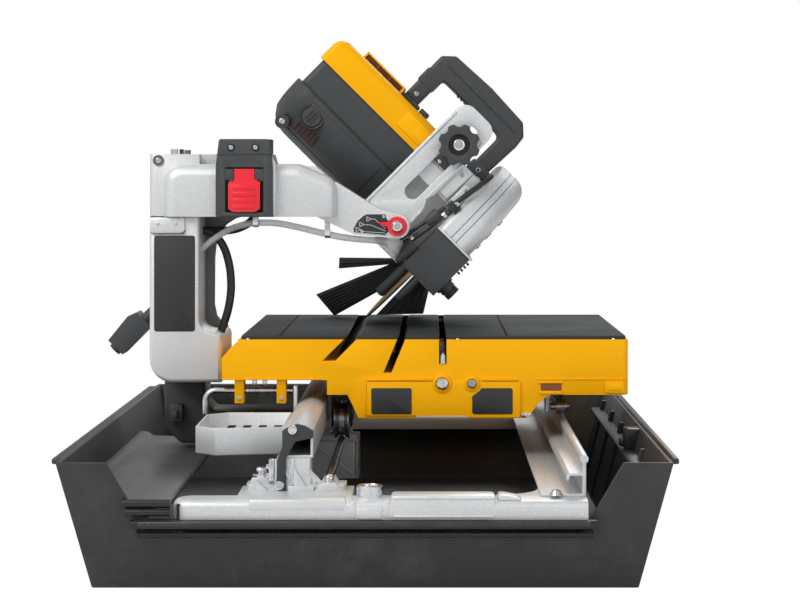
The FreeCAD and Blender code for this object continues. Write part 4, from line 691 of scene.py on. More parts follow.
# one bar repeated along a straight row
def makeRowTree():
    tree = bpy.data.node_groups.new("rowOfBars", "GeometryNodeTree")
    for label, kind in (("Bar", "NodeSocketObject"), ("Count", "NodeSocketInt"),
                        ("Start", "NodeSocketVector"), ("Step", "NodeSocketVector"),
                        ("Finish", "NodeSocketMaterial")):
        tree.interface.new_socket(label, in_out="INPUT", socket_type=kind)
    tree.interface.new_socket("Geometry", in_out="OUTPUT", socket_type="NodeSocketGeometry")
    take = tree.nodes.new("NodeGroupInput")
    give = tree.nodes.new("NodeGroupOutput")
    source = tree.nodes.new("GeometryNodeObjectInfo")
    line = tree.nodes.new("GeometryNodeMeshLine")
    spots = tree.nodes.new("GeometryNodeInstanceOnPoints")
    real = tree.nodes.new("GeometryNodeRealizeInstances")
    paint = tree.nodes.new("GeometryNodeSetMaterial")
    tree.links.new(take.outputs["Bar"], source.inputs["Object"])
    tree.links.new(take.outputs["Count"], line.inputs["Count"])
    tree.links.new(take.outputs["Start"], line.inputs["Start Location"])
    tree.links.new(take.outputs["Step"], line.inputs["Offset"])
    tree.links.new(line.outputs["Mesh"], spots.inputs["Points"])
    tree.links.new(source.outputs["Geometry"], spots.inputs["Instance"])
    tree.links.new(spots.outputs["Instances"], real.inputs["Geometry"])
    tree.links.new(real.outputs["Geometry"], paint.inputs["Geometry"])
    tree.links.new(take.outputs["Finish"], paint.inputs["Material"])
    tree.links.new(paint.outputs["Geometry"], give.inputs["Geometry"])
    return tree


scatterTree = makeScatterTree()
rowTree = makeRowTree()


def runTree(base, tree, values):
    piece = loose(base)
    modifier = piece.modifiers.new("repeat", "NODES")
    modifier.node_group = tree
    for item in tree.interface.items_tree:
        if item.in_out == "INPUT" and item.name in values:
            modifier[item.identifier] = values[item.name]
    return settle(piece)


# facings: the way a head looks
towards = {"front": (math.pi / 2, 0, 0), "up": (0, 0, 0), "rear": (-math.pi / 2, 0, 0),
           "right": (0, math.pi / 2, 0), "left": (0, -math.pi / 2, 0)}


# spots are (x, y, z, size) in millimetres and the facing
def scatter(name, head, spots, finish, body, place=None):
    points = bpy.data.meshes.new("points")
    points.from_pydata([Vector(spot[:3]) * mm for spot in spots], [], [])
    points.attributes.new("facing", "FLOAT_VECTOR", "POINT")
    points.attributes.new("grow", "FLOAT", "POINT")
    facing = points.attributes["facing"]
    grow = points.attributes["grow"]
    for i, spot in enumerate(spots):
        facing.data[i].vector = towards[spot[4]] if isinstance(spot[4], str) else spot[4]
        grow.data[i].value = spot[3]
    source = loose(head.copy())
    mesh = runTree(points, scatterTree, {"Head": source, "Size": 1.0, "Finish": finishes[finish]})
    bpy.data.objects.remove(source)
    if place is not None:
        mesh.transform(place)
    return keepMesh(name, mesh, finish, body)


def row(name, bar, count, start, step, finish, body, slot, place=None):
    source = loose(bar)
    mesh = runTree(bpy.data.meshes.new("seed"), rowTree, {
        "Bar": source, "Count": count, "Start": tuple(v * mm for v in start),
        "Step": tuple(v * mm for v in step), "Finish": finishes[finish]})
    bpy.data.objects.remove(source)
    if place is not None:
        mesh.transform(place)
    return keepMesh(name, mesh, finish, body)


# a flat piece with softened edges: outline in x and z, all in millimetres
def panel(name, outline, near, far, edge, finish, body, slot, place=None, smoothAngle=32):
    mesh = softened(slab([(x * mm, z * mm) for x, z in outline], near * mm, far * mm), edge * mm)
    if place is not None:
        mesh.transform(place)
    return keepMesh(name, mesh, finish, body, smoothAngle)


def block(left, right, near, far, low, high, edge):
    mesh = slab([(left * mm, low * mm), (right * mm, low * mm), (right * mm, high * mm),
                 (left * mm, high * mm)], near * mm, far * mm)
    return softened(mesh, edge * mm)


def vectors(points):
    return [Vector(point) * mm for point in points]


screwHead = socketHead(1.0 * mm, 0.55 * mm, 0.5 * mm)      # unit head, scaled where it is set
washer = turned([(0.55 * mm, 0), (1.0 * mm, 0), (1.0 * mm, 0.3 * mm), (0.9 * mm, 0.4 * mm),
                 (0.6 * mm, 0.4 * mm), (0.55 * mm, 0)], 32)


switchDetail = {
    "screws": ((-171.5, 467.0), (-142.0, 467.0)), "front": -64.0, "ring": 4.4, "head": 3.0,
    "ribStart": 418.3, "ribStep": -7.6, "ribCount": 4, "ribHalf": 13.5, "paddleFace": -68.0,
    "flange": (-121.2, -118.4, 384.5, 456.0),
}


def switchHardware():
    d = switchDetail
    rings = [(x, d["front"] + 0.3, z, d["ring"], "front") for x, z in d["screws"]]
    heads = [(x, d["front"] + 0.2, z, d["head"], "front") for x, z in d["screws"]]
    scatter("switch_screw_rings", washer, rings, "leadRubber", "root")
    scatter("switch_screws", screwHead, heads, "chrome", "root")
    bar = block(-d["ribHalf"], d["ribHalf"], d["paddleFace"] - 1.1, d["paddleFace"] + 0.5, -2.4, 2.4, 0.8)
    row("paddle_ribs", bar, d["ribCount"], (-155.5, 0, d["ribStart"]), (0, 0, d["ribStep"]),
        "redPlastic", "paddle", "red_plastic")
    left, right, low, high = d["flange"]
    panel("switch_flange", [(left, low), (right, low), (right + 0.6, high - 34), (right, high - 6),
                            (left - 3.2, high)], -61, -49.5, 0.6, "castSilver", "root", "cast_silver")
    seam = roundedOutline(-189.2, -121.8, 457.6, 458.6, 0.4, 2)
    panel("switch_seam", seam, -64.25, -63.5, 0.1, "leadRubber", "root", "black_plastic")
    for side, left, right in (("left", -178.4, -168.3), ("right", -142.7, -132.6)):
        panel("switch_bezel_" + side, [(left, 428), (right, 426), (right, 441), (left, 441)], -63.9, -62.4,
              0.4, "blackMoulding", "root", "black_plastic")
    sill = [(-184, 384), (-127, 384), (-130, 388.5), (-181, 388.5)]
    panel("switch_sill", sill, -66.0, -63.5, 0.7, "blackMoulding", "root", "black_plastic")


columnDetail = {
    "front": -40.0, "plate": (-266.2, -218.4, 244.2, 359.0, 2.6),
    "plateBed": (-267.2, -217.4, 243.2, 360.0, 3.2), "splitLine": (-272.2, -212.6, 382.4, 383.5, 0.45, 2),
    "clamp": ((-271.5, 366.0), (-269, 362.8), (-233, 362.8), (-229.6, 366.0), (-229.6, 382.2),
              (-272.2, 382.2)),
    "cornerScrew": (-262.0, 451.5), "web": (33, 47),
}


def columnPieces():
    d = columnDetail
    face = d["front"]
    plate = roundedOutline(*d["plate"])
    panel("column_plate", plate, face - 0.9, face + 0.3, 0.25, "plateBlack", "root", "black_plastic")
    rim = roundedOutline(*d["plateBed"])
    panel("column_plate_bed", rim, face - 0.45, face + 0.3, 0.2, "darkCasting", "root", "black_plastic")
    panel("column_clamp_block", d["clamp"], face - 4.2, face + 0.6, 1.5, "castSilver", "root", "cast_silver")
    # the dark band under the clamp block is painted shade
    panel("column_clamp_shade", [(-270, 362.0), (-231.5, 362.0), (-229, 365.0), (-229, 367.5),
                                 (-271.6, 367.5)], face - 3.4, face + 0.5, 0.8, "shadedCasting", "root",
          "cast_silver")
    line = roundedOutline(*d["splitLine"])
    panel("column_split_line", line, face - 0.35, face + 0.4, 0.1, "leadRubber", "root", "black_plastic")
    # the web is drawn in painted shade: the column's inner side, which faces away from the light
    web = [(-213, 382.8), (-163, 382.8), (-175, 379.2), (-186, 372), (-194, 361.5), (-199, 348),
           (-201, 330), (-201.5, 272), (-198.5, 258), (-191, 249), (-183.5, 245.5), (-187, 240.6),
           (-213, 246)]
    panel("column_web", web, *d["web"], 2.2, "shadedCasting", "root", "cast_silver")
    x, z = d["cornerScrew"]
    scatter("column_corner_screw", screwHead, [(x, face + 0.2, z, 3.6, "front")], "chrome", "root")
    # a dark ring of painted shade stands for the recess round the corner screw
    scatter("column_corner_recess", washer, [(x, face + 0.3, z, 6.6, "front")], "shadedCasting", "root")
    scatter("arm_underside_bolts", screwHead, [(-262, face - 4.0, 374, 2.2, "front"),
                                               (-240, face - 4.0, 374, 2.2, "front")], "chrome", "root")


tubeClips = {"places": ((-145.0, -20.0, 374.9, 383.2), (-57.0, -20.0, 361.8, 378.0)), "radius": 5.4,
             "width": 6.5}


def addTubeClips():
    d = tubeClips
    bands = []
    for x, y, z, top in d["places"]:
        ring = turned([(4.15 * mm, -d["width"] / 2 * mm), (d["radius"] * mm, -d["width"] / 2 * mm),
                       (d["radius"] * mm, d["width"] / 2 * mm), (4.15 * mm, d["width"] / 2 * mm),
                       (4.15 * mm, -d["width"] / 2 * mm)], 28)
        ring.transform(Matrix.Translation(Vector((x, y, z)) * mm) @ Matrix.Rotation(math.pi / 2, 4, "Y"))
        bands.append(ring)
        bands.append(block(x - d["width"] / 2, x + d["width"] / 2, y - 7.6, y - 6.2, z - 2, top, 0.3))
        bands.append(block(x - d["width"] / 2, x + d["width"] / 2, y - 7.0, y - 3.4, z + 3.2, z + 4.6, 0.3))
    keepMesh("tube_clips", gather(bands), "chrome", "root")
    scatter("tube_clip_screws", screwHead, [(x, y - 7.5, top - 3.6, 2.3, "front")
                                            for x, y, z, top in d["places"]], "chrome", "root")


scaleDetail = {
    "front": -36.0,
    "outline": ((-8.7, 385.6), (14.6, 385.6), (14.8, 381.5), (17.6, 377.5), (17.6, 364.5), (13.5, 360.6),
                (-24.3, 364.0), (-24.6, 368.6), (-18.9, 378.6), (-13.2, 383.6)),
    "marks": ((-6.4, 380.0), (-15.2, 373.6), (-19.6, 367.4)), "markSize": 3.3,
    "lines": (((-3.0, 380.2), (1.6, 379.6), (14.0, 368.6)), ((-11.8, 373.2), (-4.6, 373.0), (14.4, 365.4)),
              ((-16.2, 366.8), (-9.8, 364.6), (13.6, 363.0))),
    "screws": ((12.0, 383.0), (-14.4, 364.9)),
}


# bars that follow a broken line in x and z, all in millimetres
def ribbonAlong(points, width, near, far):
    bars = []
    for start, end in zip(points, points[1:]):
        a = Vector((start[0], start[1]))
        b = Vector((end[0], end[1]))
        side = (b - a).normalized().orthogonal() * width / 2
        along = (b - a).normalized() * width / 2
        corners = [a - along + side, a - along - side, b + along - side, b + along + side]
        bars.append(slab([(c.x * mm, c.y * mm) for c in corners], near * mm, far * mm))
    return bars


def angleScale():
    d = scaleDetail
    face = d["front"]
    panel("angle_scale_edge", grown(d["outline"], 0.9), face - 0.5, face + 0.3, 0.2, "chrome", "root",
          "black_plastic")
    panel("angle_scale_plate", d["outline"], face - 0.9, face + 0.3, 0.2, "plateBlack", "root",
          "black_plastic")
    strokes = []
    for x, z in d["marks"]:
        r = d["markSize"]
        tips = [(x - r * 0.62, z + r * 0.85), (x - r * 0.62, z - r * 0.85), (x + r, z)]
        strokes += ribbonAlong(tips + tips[:1], 0.65, face - 1.15, face - 0.8)
    for line in d["lines"]:
        strokes += ribbonAlong(line, 0.6, face - 1.15, face - 0.8)
    keepMesh("angle_scale_marks", gather(strokes), "markWhite", "root")
    scatter("angle_scale_screws", screwHead, [(x, face - 0.8, z, 1.9, "front") for x, z in d["screws"]],
            "chrome", "root")


def pivotSocket():
    spots = [(28.6, -44.9, 371.0, 6.2, "front")]
    scatter("pivot_bolt_socket", screwHead, spots, "chrome", bodyOf["bevel_bolt"])


# the same outline with every point moved out from the middle
def grown(outline, amount):
    middle = Vector((sum(p[0] for p in outline), sum(p[1] for p in outline))) / len(outline)
    return [tuple(Vector(p) + (Vector(p) - middle).normalized() * amount) for p in outline]


switchHardware()
columnPieces()
addTubeClips()
angleScale()
pivotSocket()
print("column, arm and switch dressed")


bladeAxis = (122.0, 13.5)       # y and height of the arbor in the head's frame
motorAxis = (122.0, 47.1)


# part of a ring about a line across the head; angles count upwards from the front
def arcPatch(axis, left, right, low, high, inner, outer, steps=24):
    bm = bmesh.new()
    cy, cw = axis
    rings = []
    for i in range(steps + 1):
        turn = math.radians(low + (high - low) * i / steps)
        section = []
        for radius, across in ((inner, left), (outer, left), (outer, right), (inner, right)):
            section.append(bm.verts.new(Vector((across, cy - radius * math.cos(turn),
                                                cw + radius * math.sin(turn))) * mm))
        rings.append(section)
    for near, far in zip(rings, rings[1:]):
        for i in range(4):
            k = (i + 1) % 4
            bm.faces.new((near[i], near[k], far[k], far[i]))
    bm.faces.new(rings[0][::-1])
    bm.faces.new(rings[-1])
    bmesh.ops.recalc_face_normals(bm, faces=bm.faces)
    return meshFrom(bm)


def headKeep(name, mesh, finish, body="plunge_head"):
    mesh.transform(headPlace)
    return keepMesh(name, mesh, finish, body)


def headBlock(name, box, edge, finish, body="plunge_head"):
    return headKeep(name, block(*box, edge), finish, body)


def headRod(name, profile, place, axis, finish, steps=32, body="plunge_head"):
    mesh = turned([(r * mm, h * mm) for r, h in profile], steps)
    turn = {"z": Matrix.Identity(4), "y": Matrix.Rotation(math.pi / 2, 4, "X"),
            "x": Matrix.Rotation(math.pi / 2, 4, "Y")}[axis]
    mesh.transform(Matrix.Translation(Vector(place) * mm) @ turn)
    return headKeep(name, mesh, finish, body)


bracketDetail = {
    "ribs": (((2.6, 150), (2.6, 112), (1.0, 47), (7.4, 36), (8.2, 23), (8.2, 11)),
             ((-48.6, 150), (-48.6, -6))),
    "face": 11.0,
}


def bracketPieces():
    d = bracketDetail
    face = d["face"]
    ribs = []
    for line in d["ribs"]:
        ribs += [softened(mesh, 0.7 * mm) for mesh in ribbonAlong(line, 2.8, face - 1.5, face + 0.6)]
    headKeep("bracket_edge_ribs", gather(ribs), "castSilver", "bevel_head")
    toe = [(-7.5, -32), (30.5, -32), (30.5, -27.5), (-7.5, -27.5)]
    panel("bracket_toe_lip", toe, face - 1.3, face + 0.6, 0.6, "castSilver", "bevel_head", "cast_silver",
          headPlace)
    headBlock("bracket_toe_clip", (-6.5, 2.5, face - 3.4, face + 0.4, -31, -21.5), 0.9, "blackMoulding",
              "bevel_head")
    scatter("slider_screw", screwHead, [(-19.6, 11.3, 93.0, 2.6, "front")], "chrome", "plunge_head",
            headPlace)
    scatter("knob_screw", screwHead, [(-17, -6.6, 124, 7.6, "front")], "chrome", "plunge_lock",
            headPlace)
    collar = [(7.8, 0), (12.4, 0), (12.7, 5.6), (11.9, 6.2), (11.2, 5.6), (10.6, 1.0), (7.8, 1.0), (7.8, 0)]
    headRod("knob_recess_ring", collar, (-17, -6.6, 124), "y", "leadRubber", 48,
            "plunge_lock")


gearboxDetail = {
    "pads": ((4.5, 20.5, 15.4, 66, 106), (23.0, 36.0, 17.2, 66, 96), (-46, -31, 17.5, 66, 108)),
    "seams": ((-49.4, 37.4, 20.6, 21.6, 86.4, 87.2, 0.1), (21.2, 22.0, 20.6, 21.6, 63, 111, 0.1)),
    "frontScrews": ((-38.5, 17.6, 102, 3.2), (29.5, 17.3, 90, 2.8), (12.5, 15.5, 100.5, 2.8)),
    "topScrews": ((-44, 64), (30, 46), (30, 160), (-44, 160)), "top": 111.8,
}


def gearboxPieces():
    d = gearboxDetail
    parts = [block(left, right, near, 21.8, low, high, 1.4) for left, right, near, low, high in d["pads"]]
    headKeep("gearbox_pads", gather(parts), "castSilver")
    headKeep("gearbox_seams", gather([block(*box) for box in d["seams"]]), "shadedCasting")
    screws = [(*spot, "front") for spot in d["frontScrews"]]
    screws += [(u, y, d["top"], 3.4, "up") for u, y in d["topScrews"]]
    scatter("gearbox_screws", screwHead, screws, "turnedSteel", "plunge_head", headPlace)


motorDetail = {
    "recess": (-180.4, -118.6, 82.9, 84.6, 120.4, 127.0), "hoodRibs": (-160.0, -139.0),
    "lug": (-197.0, -12.0, 9.0), "brush": (-173.0, 54.0, 19.0), "bandScrews": (-204, -64),
    "bands": ((-213.4, -50.6, 49.4, 50.6, 78.6, 80.4, 0.4), (-213.4, -50.6, 49.2, 50.6, 42.0, 43.8, 0.5)),
}


def motorPieces():
    d = motorDetail
    left, right, near, far, low, high = d["recess"]
    # the hood's slotted recess is painted shade: dark brown, with ribs in dim yellow
    headBlock("hood_recess", (left, right, near + 0.6, far, low, high), 0.3, "paintedDeepShadeBrown")
    frameBars = [block(left - 2.2, right + 2.2, near - 0.6, near + 1.4, high - 0.4, high + 1.6, 0.5),
                 block(left - 2.2, left + 0.2, near - 0.6, near + 1.4, low - 0.6, high + 1.2, 0.5),
                 block(right - 0.2, right + 2.2, near - 0.6, near + 1.4, low - 0.6, high + 1.2, 0.5)]
    headKeep("hood_rim", gather(frameBars), "yellowMoulding")
    ribs = [block(x - 0.8, x + 0.8, near - 0.1, near + 1.0, low, high, 0.3) for x in d["hoodRibs"]]
    headKeep("hood_ribs", gather(ribs), "paintedSoftShadeYellow")

    # barrel: raised field round the brush cap, seams and a foot for the end screw
    field = arcPatch(motorAxis, -184, -66, -58, -11, 69.4, 71.3, 20)
    headKeep("barrel_field", softened(field, 1.0 * mm), "blackMoulding")
    headKeep("barrel_seam", arcPatch(motorAxis, -187.2, -51, -60.6, -59.6, 69.0, 70.9, 2), "leadRubber")
    headKeep("band_edges", gather([block(*box) for box in d["bands"]]), "leadRubber")
    u, w, radius = d["lug"]
    headRod("barrel_lug", [(0, 0), (radius - 1, 0), (radius, 1), (radius, 42), (0, 42)], (u, 112, w), "y",
            "blackMoulding")
    scatter("barrel_lug_screw", screwHead, [(u, 70.2, w, 4.0, "front")], "chrome", "plunge_head",
            headPlace)
    u, y, w = d["brush"]
    headRod("brush_cap_ring", [(13.2, 0), (16.2, 0), (16.2, 3.6), (15.2, 4.4), (13.2, 3.8), (13.2, 0)],
            (u, y + 3.6, w), "y", "leadRubber", 40)
    cap = [(0, 0), (12.2, 0), (12.2, 2.2), (11.2, 3.0), (0, 3.0)]
    headRod("brush_cap_face", cap, (u, y + 0.6, w), "y", "blackMoulding", 40)
    bars = [block(u - 5.2, u - 3.6, y - 3.2, y - 1.6, w - 7, w + 7, 0.3),
            block(u + 3.6, u + 5.2, y - 3.2, y - 1.6, w - 7, w + 7, 0.3),
            block(u - 1.2, u + 1.2, y - 3.6, y - 1.6, w - 8, w + 8, 0.4)]
    headKeep("brush_cap_slot", gather(bars), "leadRubber")

    # air slots: end of the barrel, end of the cover, and low on the barrel's side
    slot = block(-0.9, 0.9, -1.5, 1.5, -9, 9, 0.6)
    slot.transform(Matrix.Translation(Vector((-219.2, 0, 0)) * mm))
    row("cover_end_slots", slot, 10, (0, 82, 99), (0, 9, 0), "leadRubber", "plunge_head", "black_plastic",
        headPlace)
    # the vents are dark brown strips of painted shade
    vents = [arcPatch(motorAxis, u, u + 3.2, -52, -34, 69.6, 71.9, 6) for u in range(-181, -148, 6)]
    headKeep("barrel_vents", gather(vents), "paintedDeepShadeBrown")
    screws = [(u, 194.7, 61, 3.2, "rear") for u in d["bandScrews"]]
    scatter("band_screws", screwHead, screws, "turnedSteel", "plunge_head", headPlace)
    headBlock("cover_front_pad", (-92, -52, 47.6, 50.8, 88, 111), 2.2, "yellowMoulding")
    headBlock("cover_front_pad_low", (-70, -51, 46.4, 49, 92, 107), 1.6, "yellowMoulding")


handleDetail = {
    "sleeves": ((-115.4, -89.6, 103.4, 140.6, 148.5, 171, 3.0), (8.5, 37.5, 103.4, 140.6, 113, 129, 3.0),
                (-118, -86, 100.5, 143.5, 118.8, 125.5, 2.6)),
    "grip": (-2.0, 2.0, -17.6, 17.6, -0.8, 0.8, 0.6), "gripRibs": 9, "gripStart": (-62, 122, 169.8),
    "gripStep": (6.0, 0, 0), "seam": (-100, 22, 104.2, 105.4, 187.6, 188.6, 0.2),
    "footBlock": (-84, -70, 98, 122, 118.6, 126.5),
    "screws": ((-102, 104.6, 134, 3.4, "front"), (23, 104.2, 121, 3.4, "front"),
               (-102, 139.4, 134, 3.4, "rear"), (23, 139.8, 121, 3.4, "rear")),
}


def handlePieces():
    d = handleDetail
    headKeep("handle_sleeves", gather([block(*box) for box in d["sleeves"]]), "blackMoulding")
    row("handle_grip_ribs", block(*d["grip"]), d["gripRibs"], d["gripStart"], d["gripStep"], "leadRubber",
        "plunge_head", "black_plastic", headPlace)
    headKeep("handle_seam", gather([block(*d["seam"])]), "leadRubber")
    headBlock("handle_foot_block", d["footBlock"], 2.0, "blackMoulding")
    scatter("handle_screws", screwHead, d["screws"], "turnedSteel", "plunge_head", headPlace)


guardDetail = {"seams": (56.3, 64.6), "seamWidth": 0.9, "radius": 134.0, "lip": (33.0, 35.8),
               "shoulder": (68.0, 114.0, 20.35, 3.0), "shoulderTurn": (9, 162), "shoulderSteps": 72}


# the guard's outer right edge: a quarter round carried about the arbor's line
def roundedShoulder(d):
    bm = bmesh.new()
    cy, cw = bladeAxis
    across, reach, radius, wall = d["shoulder"]
    start, sweep = d["shoulderTurn"]
    steps = d["shoulderSteps"]
    rings = []
    for i in range(steps + 1):
        turn = math.radians(start + sweep * i / steps)
        section = []
        for size, angles in ((radius, range(0, 100, 10)), (radius - wall, range(90, -10, -10))):
            for angle in angles:
                side = math.radians(angle)
                out = reach + size * math.cos(side)
                section.append(bm.verts.new(Vector((across + size * math.sin(side), cy - out * math.cos(turn),
                                                    cw + out * math.sin(turn))) * mm))
        rings.append(section)
    count = len(rings[0])
    for near, far in zip(rings, rings[1:]):
        for i in range(count):
            k = (i + 1) % count
            bm.faces.new((near[i], near[k], far[k], far[i]))
    bm.faces.new(rings[0][::-1])
    bm.faces.new(rings[-1])
    bmesh.ops.recalc_face_normals(bm, faces=bm.faces)
    return meshFrom(bm)


def guardPieces():
    d = guardDetail
    radius = d["radius"]
    seams = [arcPatch(bladeAxis, u, u + d["seamWidth"], 9.5, 171, radius - 1, radius + 0.35, 72)
             for u in d["seams"]]
    headKeep("guard_seams", gather(seams), "shadedCasting")
    low, high = d["lip"]
    lips = [block(36.6, 94.2, -17.0, -12.2, low, high, 1.0), block(90.8, 94.6, -16, 258, low, high, 1.0),
            block(36.6, 93.6, 255.6, 260.2, low, high, 1.0)]
    headKeep("guard_lip", gather(lips), "castSilver")
    belt = arcPatch(bladeAxis, 37.6, 39.6, 9.5, 171, radius - 9, radius - 6.2, 60)
    headKeep("guard_edge_belt", belt, "castSilver")
    face = arcPatch(bladeAxis, 87.4, 89.2, 12, 168, 96, 106, 60)
    headKeep("guard_face_rib", softened(face, 0.6 * mm), "castSilver")
    headKeep("guard_shoulder", roundedShoulder(d), "castSilver")
    hub = [(0, 0), (30, 0), (30, 1.6), (27.5, 2.8), (0, 2.8)]
    headRod("guard_hub", hub, (87.6, 122, 70), "x", "castSilver", 56)
    scatter("guard_screws", screwHead, [
        (88.8, 62, 92, 4.0, "right"), (88.8, 182, 92, 4.0, "right"), (88.8, 34, 52, 4.0, "right"),
        (88.8, 210, 52, 4.0, "right"), (90.2, 122, 70, 6.5, "right")], "turnedSteel", "plunge_head",
        headPlace)

    # skirt: water inlet boss, wiper tubes at both sides of the blade, small teeth
    headRod("skirt_inlet", [(0, -27), (3.2, -26), (10.6, -2), (11.2, 3), (10.4, 5.5), (0, 5.5)],
            (30.5, -1.5, -6), "z", "blackMoulding", 40)
    rods = []
    for u, size, y, tip in ((43.0, 6.4, 4.0, -77), (64.6, 6.4, 4.0, -65)):
        rod = turned([(0, tip * mm), (size * 0.72 * mm, (tip + 1) * mm), (size * mm, (tip + 4) * mm),
                      (size * mm, -26 * mm), (0, -26 * mm)], 32)
        rod.transform(Matrix.Translation(Vector((u, y, 0)) * mm))
        rods.append(rod)
    headKeep("splash_wipers", gather(rods), "flapRubber")
    tooth = block(92.6, 96.2, -9, -3, -1.4, 1.4, 0.5)
    row("skirt_teeth", tooth, 4, (0, 0, 12), (0, 0, 5.2), "blackMoulding", "plunge_head", "black_plastic",
        headPlace)
    knurl = [(102.2 + 4, 18 + 8.2 * math.cos(a), -12 + 8.2 * math.sin(a), 1.0, (a, 0, 0))
             for a in [2 * math.pi * i / 18 for i in range(18)]]
    scatter("port_cap_knurl", block(-3.6, 3.6, -1.2, 1.2, -0.9, 0.9, 0.3), knurl, "blackMoulding",
            "plunge_head", headPlace)
    headRod("port_collar", [(9, 0), (12.4, 0), (12.4, 3.6), (11.6, 4.4), (9, 4.4), (9, 0)], (91.4, 18, -12),
            "x", "blackMoulding", 40)


def feedPipes():
    runs = [pipe(vectors([(13.5, 5, -10), (18.5, 3, 14), (22, 4, 36), (25.6, 5, 58)]), 2.6 * mm),
            pipe(vectors([(30.5, 3, 68), (33, 4, 86), (37.5, 12, 112), (40, 27, 127), (38, 40, 124),
                          (34, 50, 110.5)]), 3.2 * mm)]
    headKeep("feed_pipes", gather(runs), "leadRubber")
    elbow = [(0, -11), (5.4, -10), (7.2, -5), (7.4, 5), (6.2, 9), (0, 10)]
    headRod("feed_elbow", elbow, (23.6, 2.8, 38), "z", "blackMoulding")
    ribs = [(8.4, -6.2), (9.0, -5.2), (8.4, -4.2), (7.6, -3.4), (8.4, -2.6), (9.0, -1.6), (8.4, -0.6),
            (7.6, 0.2), (8.4, 1.0), (9.0, 2.0), (8.4, 3.0), (6.4, 3.6), (0, 3.6)]
    headRod("feed_fitting", ribs, (33, 3, 66), "z", "blackMoulding")
    bands = [turned([(3.7 * mm, -2 * mm), (4.6 * mm, -2 * mm), (4.6 * mm, 2 * mm), (3.7 * mm, 2 * mm),
                     (3.7 * mm, -2 * mm)], 28) for i in range(2)]
    bands[0].transform(Matrix.Translation(Vector((23.4, 3.6, 2)) * mm))
    bands[1].transform(Matrix.Translation(Vector((31.4, 3.8, 50)) * mm))
    headKeep("feed_bands", gather(bands), "chrome")
    scatter("feed_screws", screwHead, [(33, -2.2, 70.5, 3.0, "front"), (15, 9.6, 4.5, 2.4, "front")],
            "chrome", "plunge_head", headPlace)


flapDetail = {
    "splash_flap_left": {
        "front": 246.0, "top": ((39, -30.3), (62, -30.3)), "low": ((-11, -150), (27, -153)),
        "keep": 0.60, "ribs": (0.12, 0.24, 0.36, 0.48, 0.60, 0.72, 0.84)},
    "splash_flap_right": {
        "front": 246.0, "top": ((64, -30.3), (88, -30.3)), "low": ((66, -112), (110, -66)),
        "keep": 0.42, "ribs": (0.2, 0.4, 0.6, 0.8)},
    "splash_flap_top": {
        "front": 238.0, "top": ((39, -30.3), (48, -30.3)), "low": ((-24, -92), (-14, -103)),
        "keep": 0.8, "ribs": (0.5,)},
}
ribEnds = (0.03, 0.97)      # the ribs stop short of the flap's edges


def ribbedFlap(node, d):
    def at(pair, share):
        return tuple(a + (b - a) * share for a, b in zip(*pair))

    outline = [d["top"][0], d["top"][1], d["low"][1], d["low"][0]]
    meshes = [softened(slab([(x * mm, z * mm) for x, z in outline], d["front"] * mm,
                            (d["front"] + 3) * mm), 0.8 * mm)]
    for share in d["ribs"]:
        fall = (at(d["top"], share), at(d["low"], share))
        line = [at(fall, end) for end in ribEnds]
        meshes += [softened(mesh, 0.5 * mm) for mesh in ribbonAlong(line, 2.0, d["front"] - 1.8,
                                                                    d["front"] + 0.4)]
    mesh = gather(meshes)
    mesh.transform(headPlace)
    piece = keepMesh(node + "_ribbed", mesh, "flapRubber", bodyOf[node])
    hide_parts(node)
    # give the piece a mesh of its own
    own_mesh(piece)
    return piece


bracketPieces()
gearboxPieces()
motorPieces()
handlePieces()
guardPieces()
feedPipes()
for node, d in flapDetail.items():
    ribbedFlap(node, d)
print("saw head dressed")


# each blade slot: x at the deck, lean in degrees, height of its floor, width
slotWays = {"bevel": (-22.0, 45.0, 212.5, 11.0), "half": (36.0, 22.5, 198.5, 9.0),
            "upright": (83.6, 0.0, 209.0, 9.0)}
cartTop = 242.5


def wayEdge(way, height, side):
    across, lean, width = way[0], way[1], way[3]
    turn = math.radians(lean)
    return across - (cartTop - height) * math.tan(turn) + side * width / 2 / math.cos(turn)


# dark lining on both sides of each blade slot and a rubber curtain at its rear end
def slotLinings():
    linings = []
    curtains = []
    for way in slotWays.values():
        low = way[2] + 0.4
        for side in (-1, 1):
            inside = -side * 0.7
            outline = [(wayEdge(way, low, side), low), (wayEdge(way, cartTop - 0.2, side), cartTop - 0.2),
                       (wayEdge(way, cartTop - 0.2, side) + inside, cartTop - 0.2),
                       (wayEdge(way, low, side) + inside, low)]
            linings.append(slab([(x * mm, z * mm) for x, z in outline], -87.5 * mm, 289 * mm))
        outline = [(wayEdge(way, low, -1), low), (wayEdge(way, low, 1), low),
                   (wayEdge(way, cartTop - 0.6, 1), cartTop - 0.6),
                   (wayEdge(way, cartTop - 0.6, -1), cartTop - 0.6)]
        curtains.append(slab([(x * mm, z * mm) for x, z in outline], 289 * mm, 292 * mm))
    keepMesh("slot_linings", gather(linings), "flapRubber", "cart")
    keepMesh("slot_curtains", gather(curtains), "flapRubber", "cart")
    way = slotWays["upright"]
    bridge = block(wayEdge(way, 236, -1) + 0.3, wayEdge(way, 236, 1) - 0.3, 286.5, 289.5, 233.2, 236.6, 0.4)
    keepMesh("slot_bridge", bridge, "yellowMoulding", "cart")


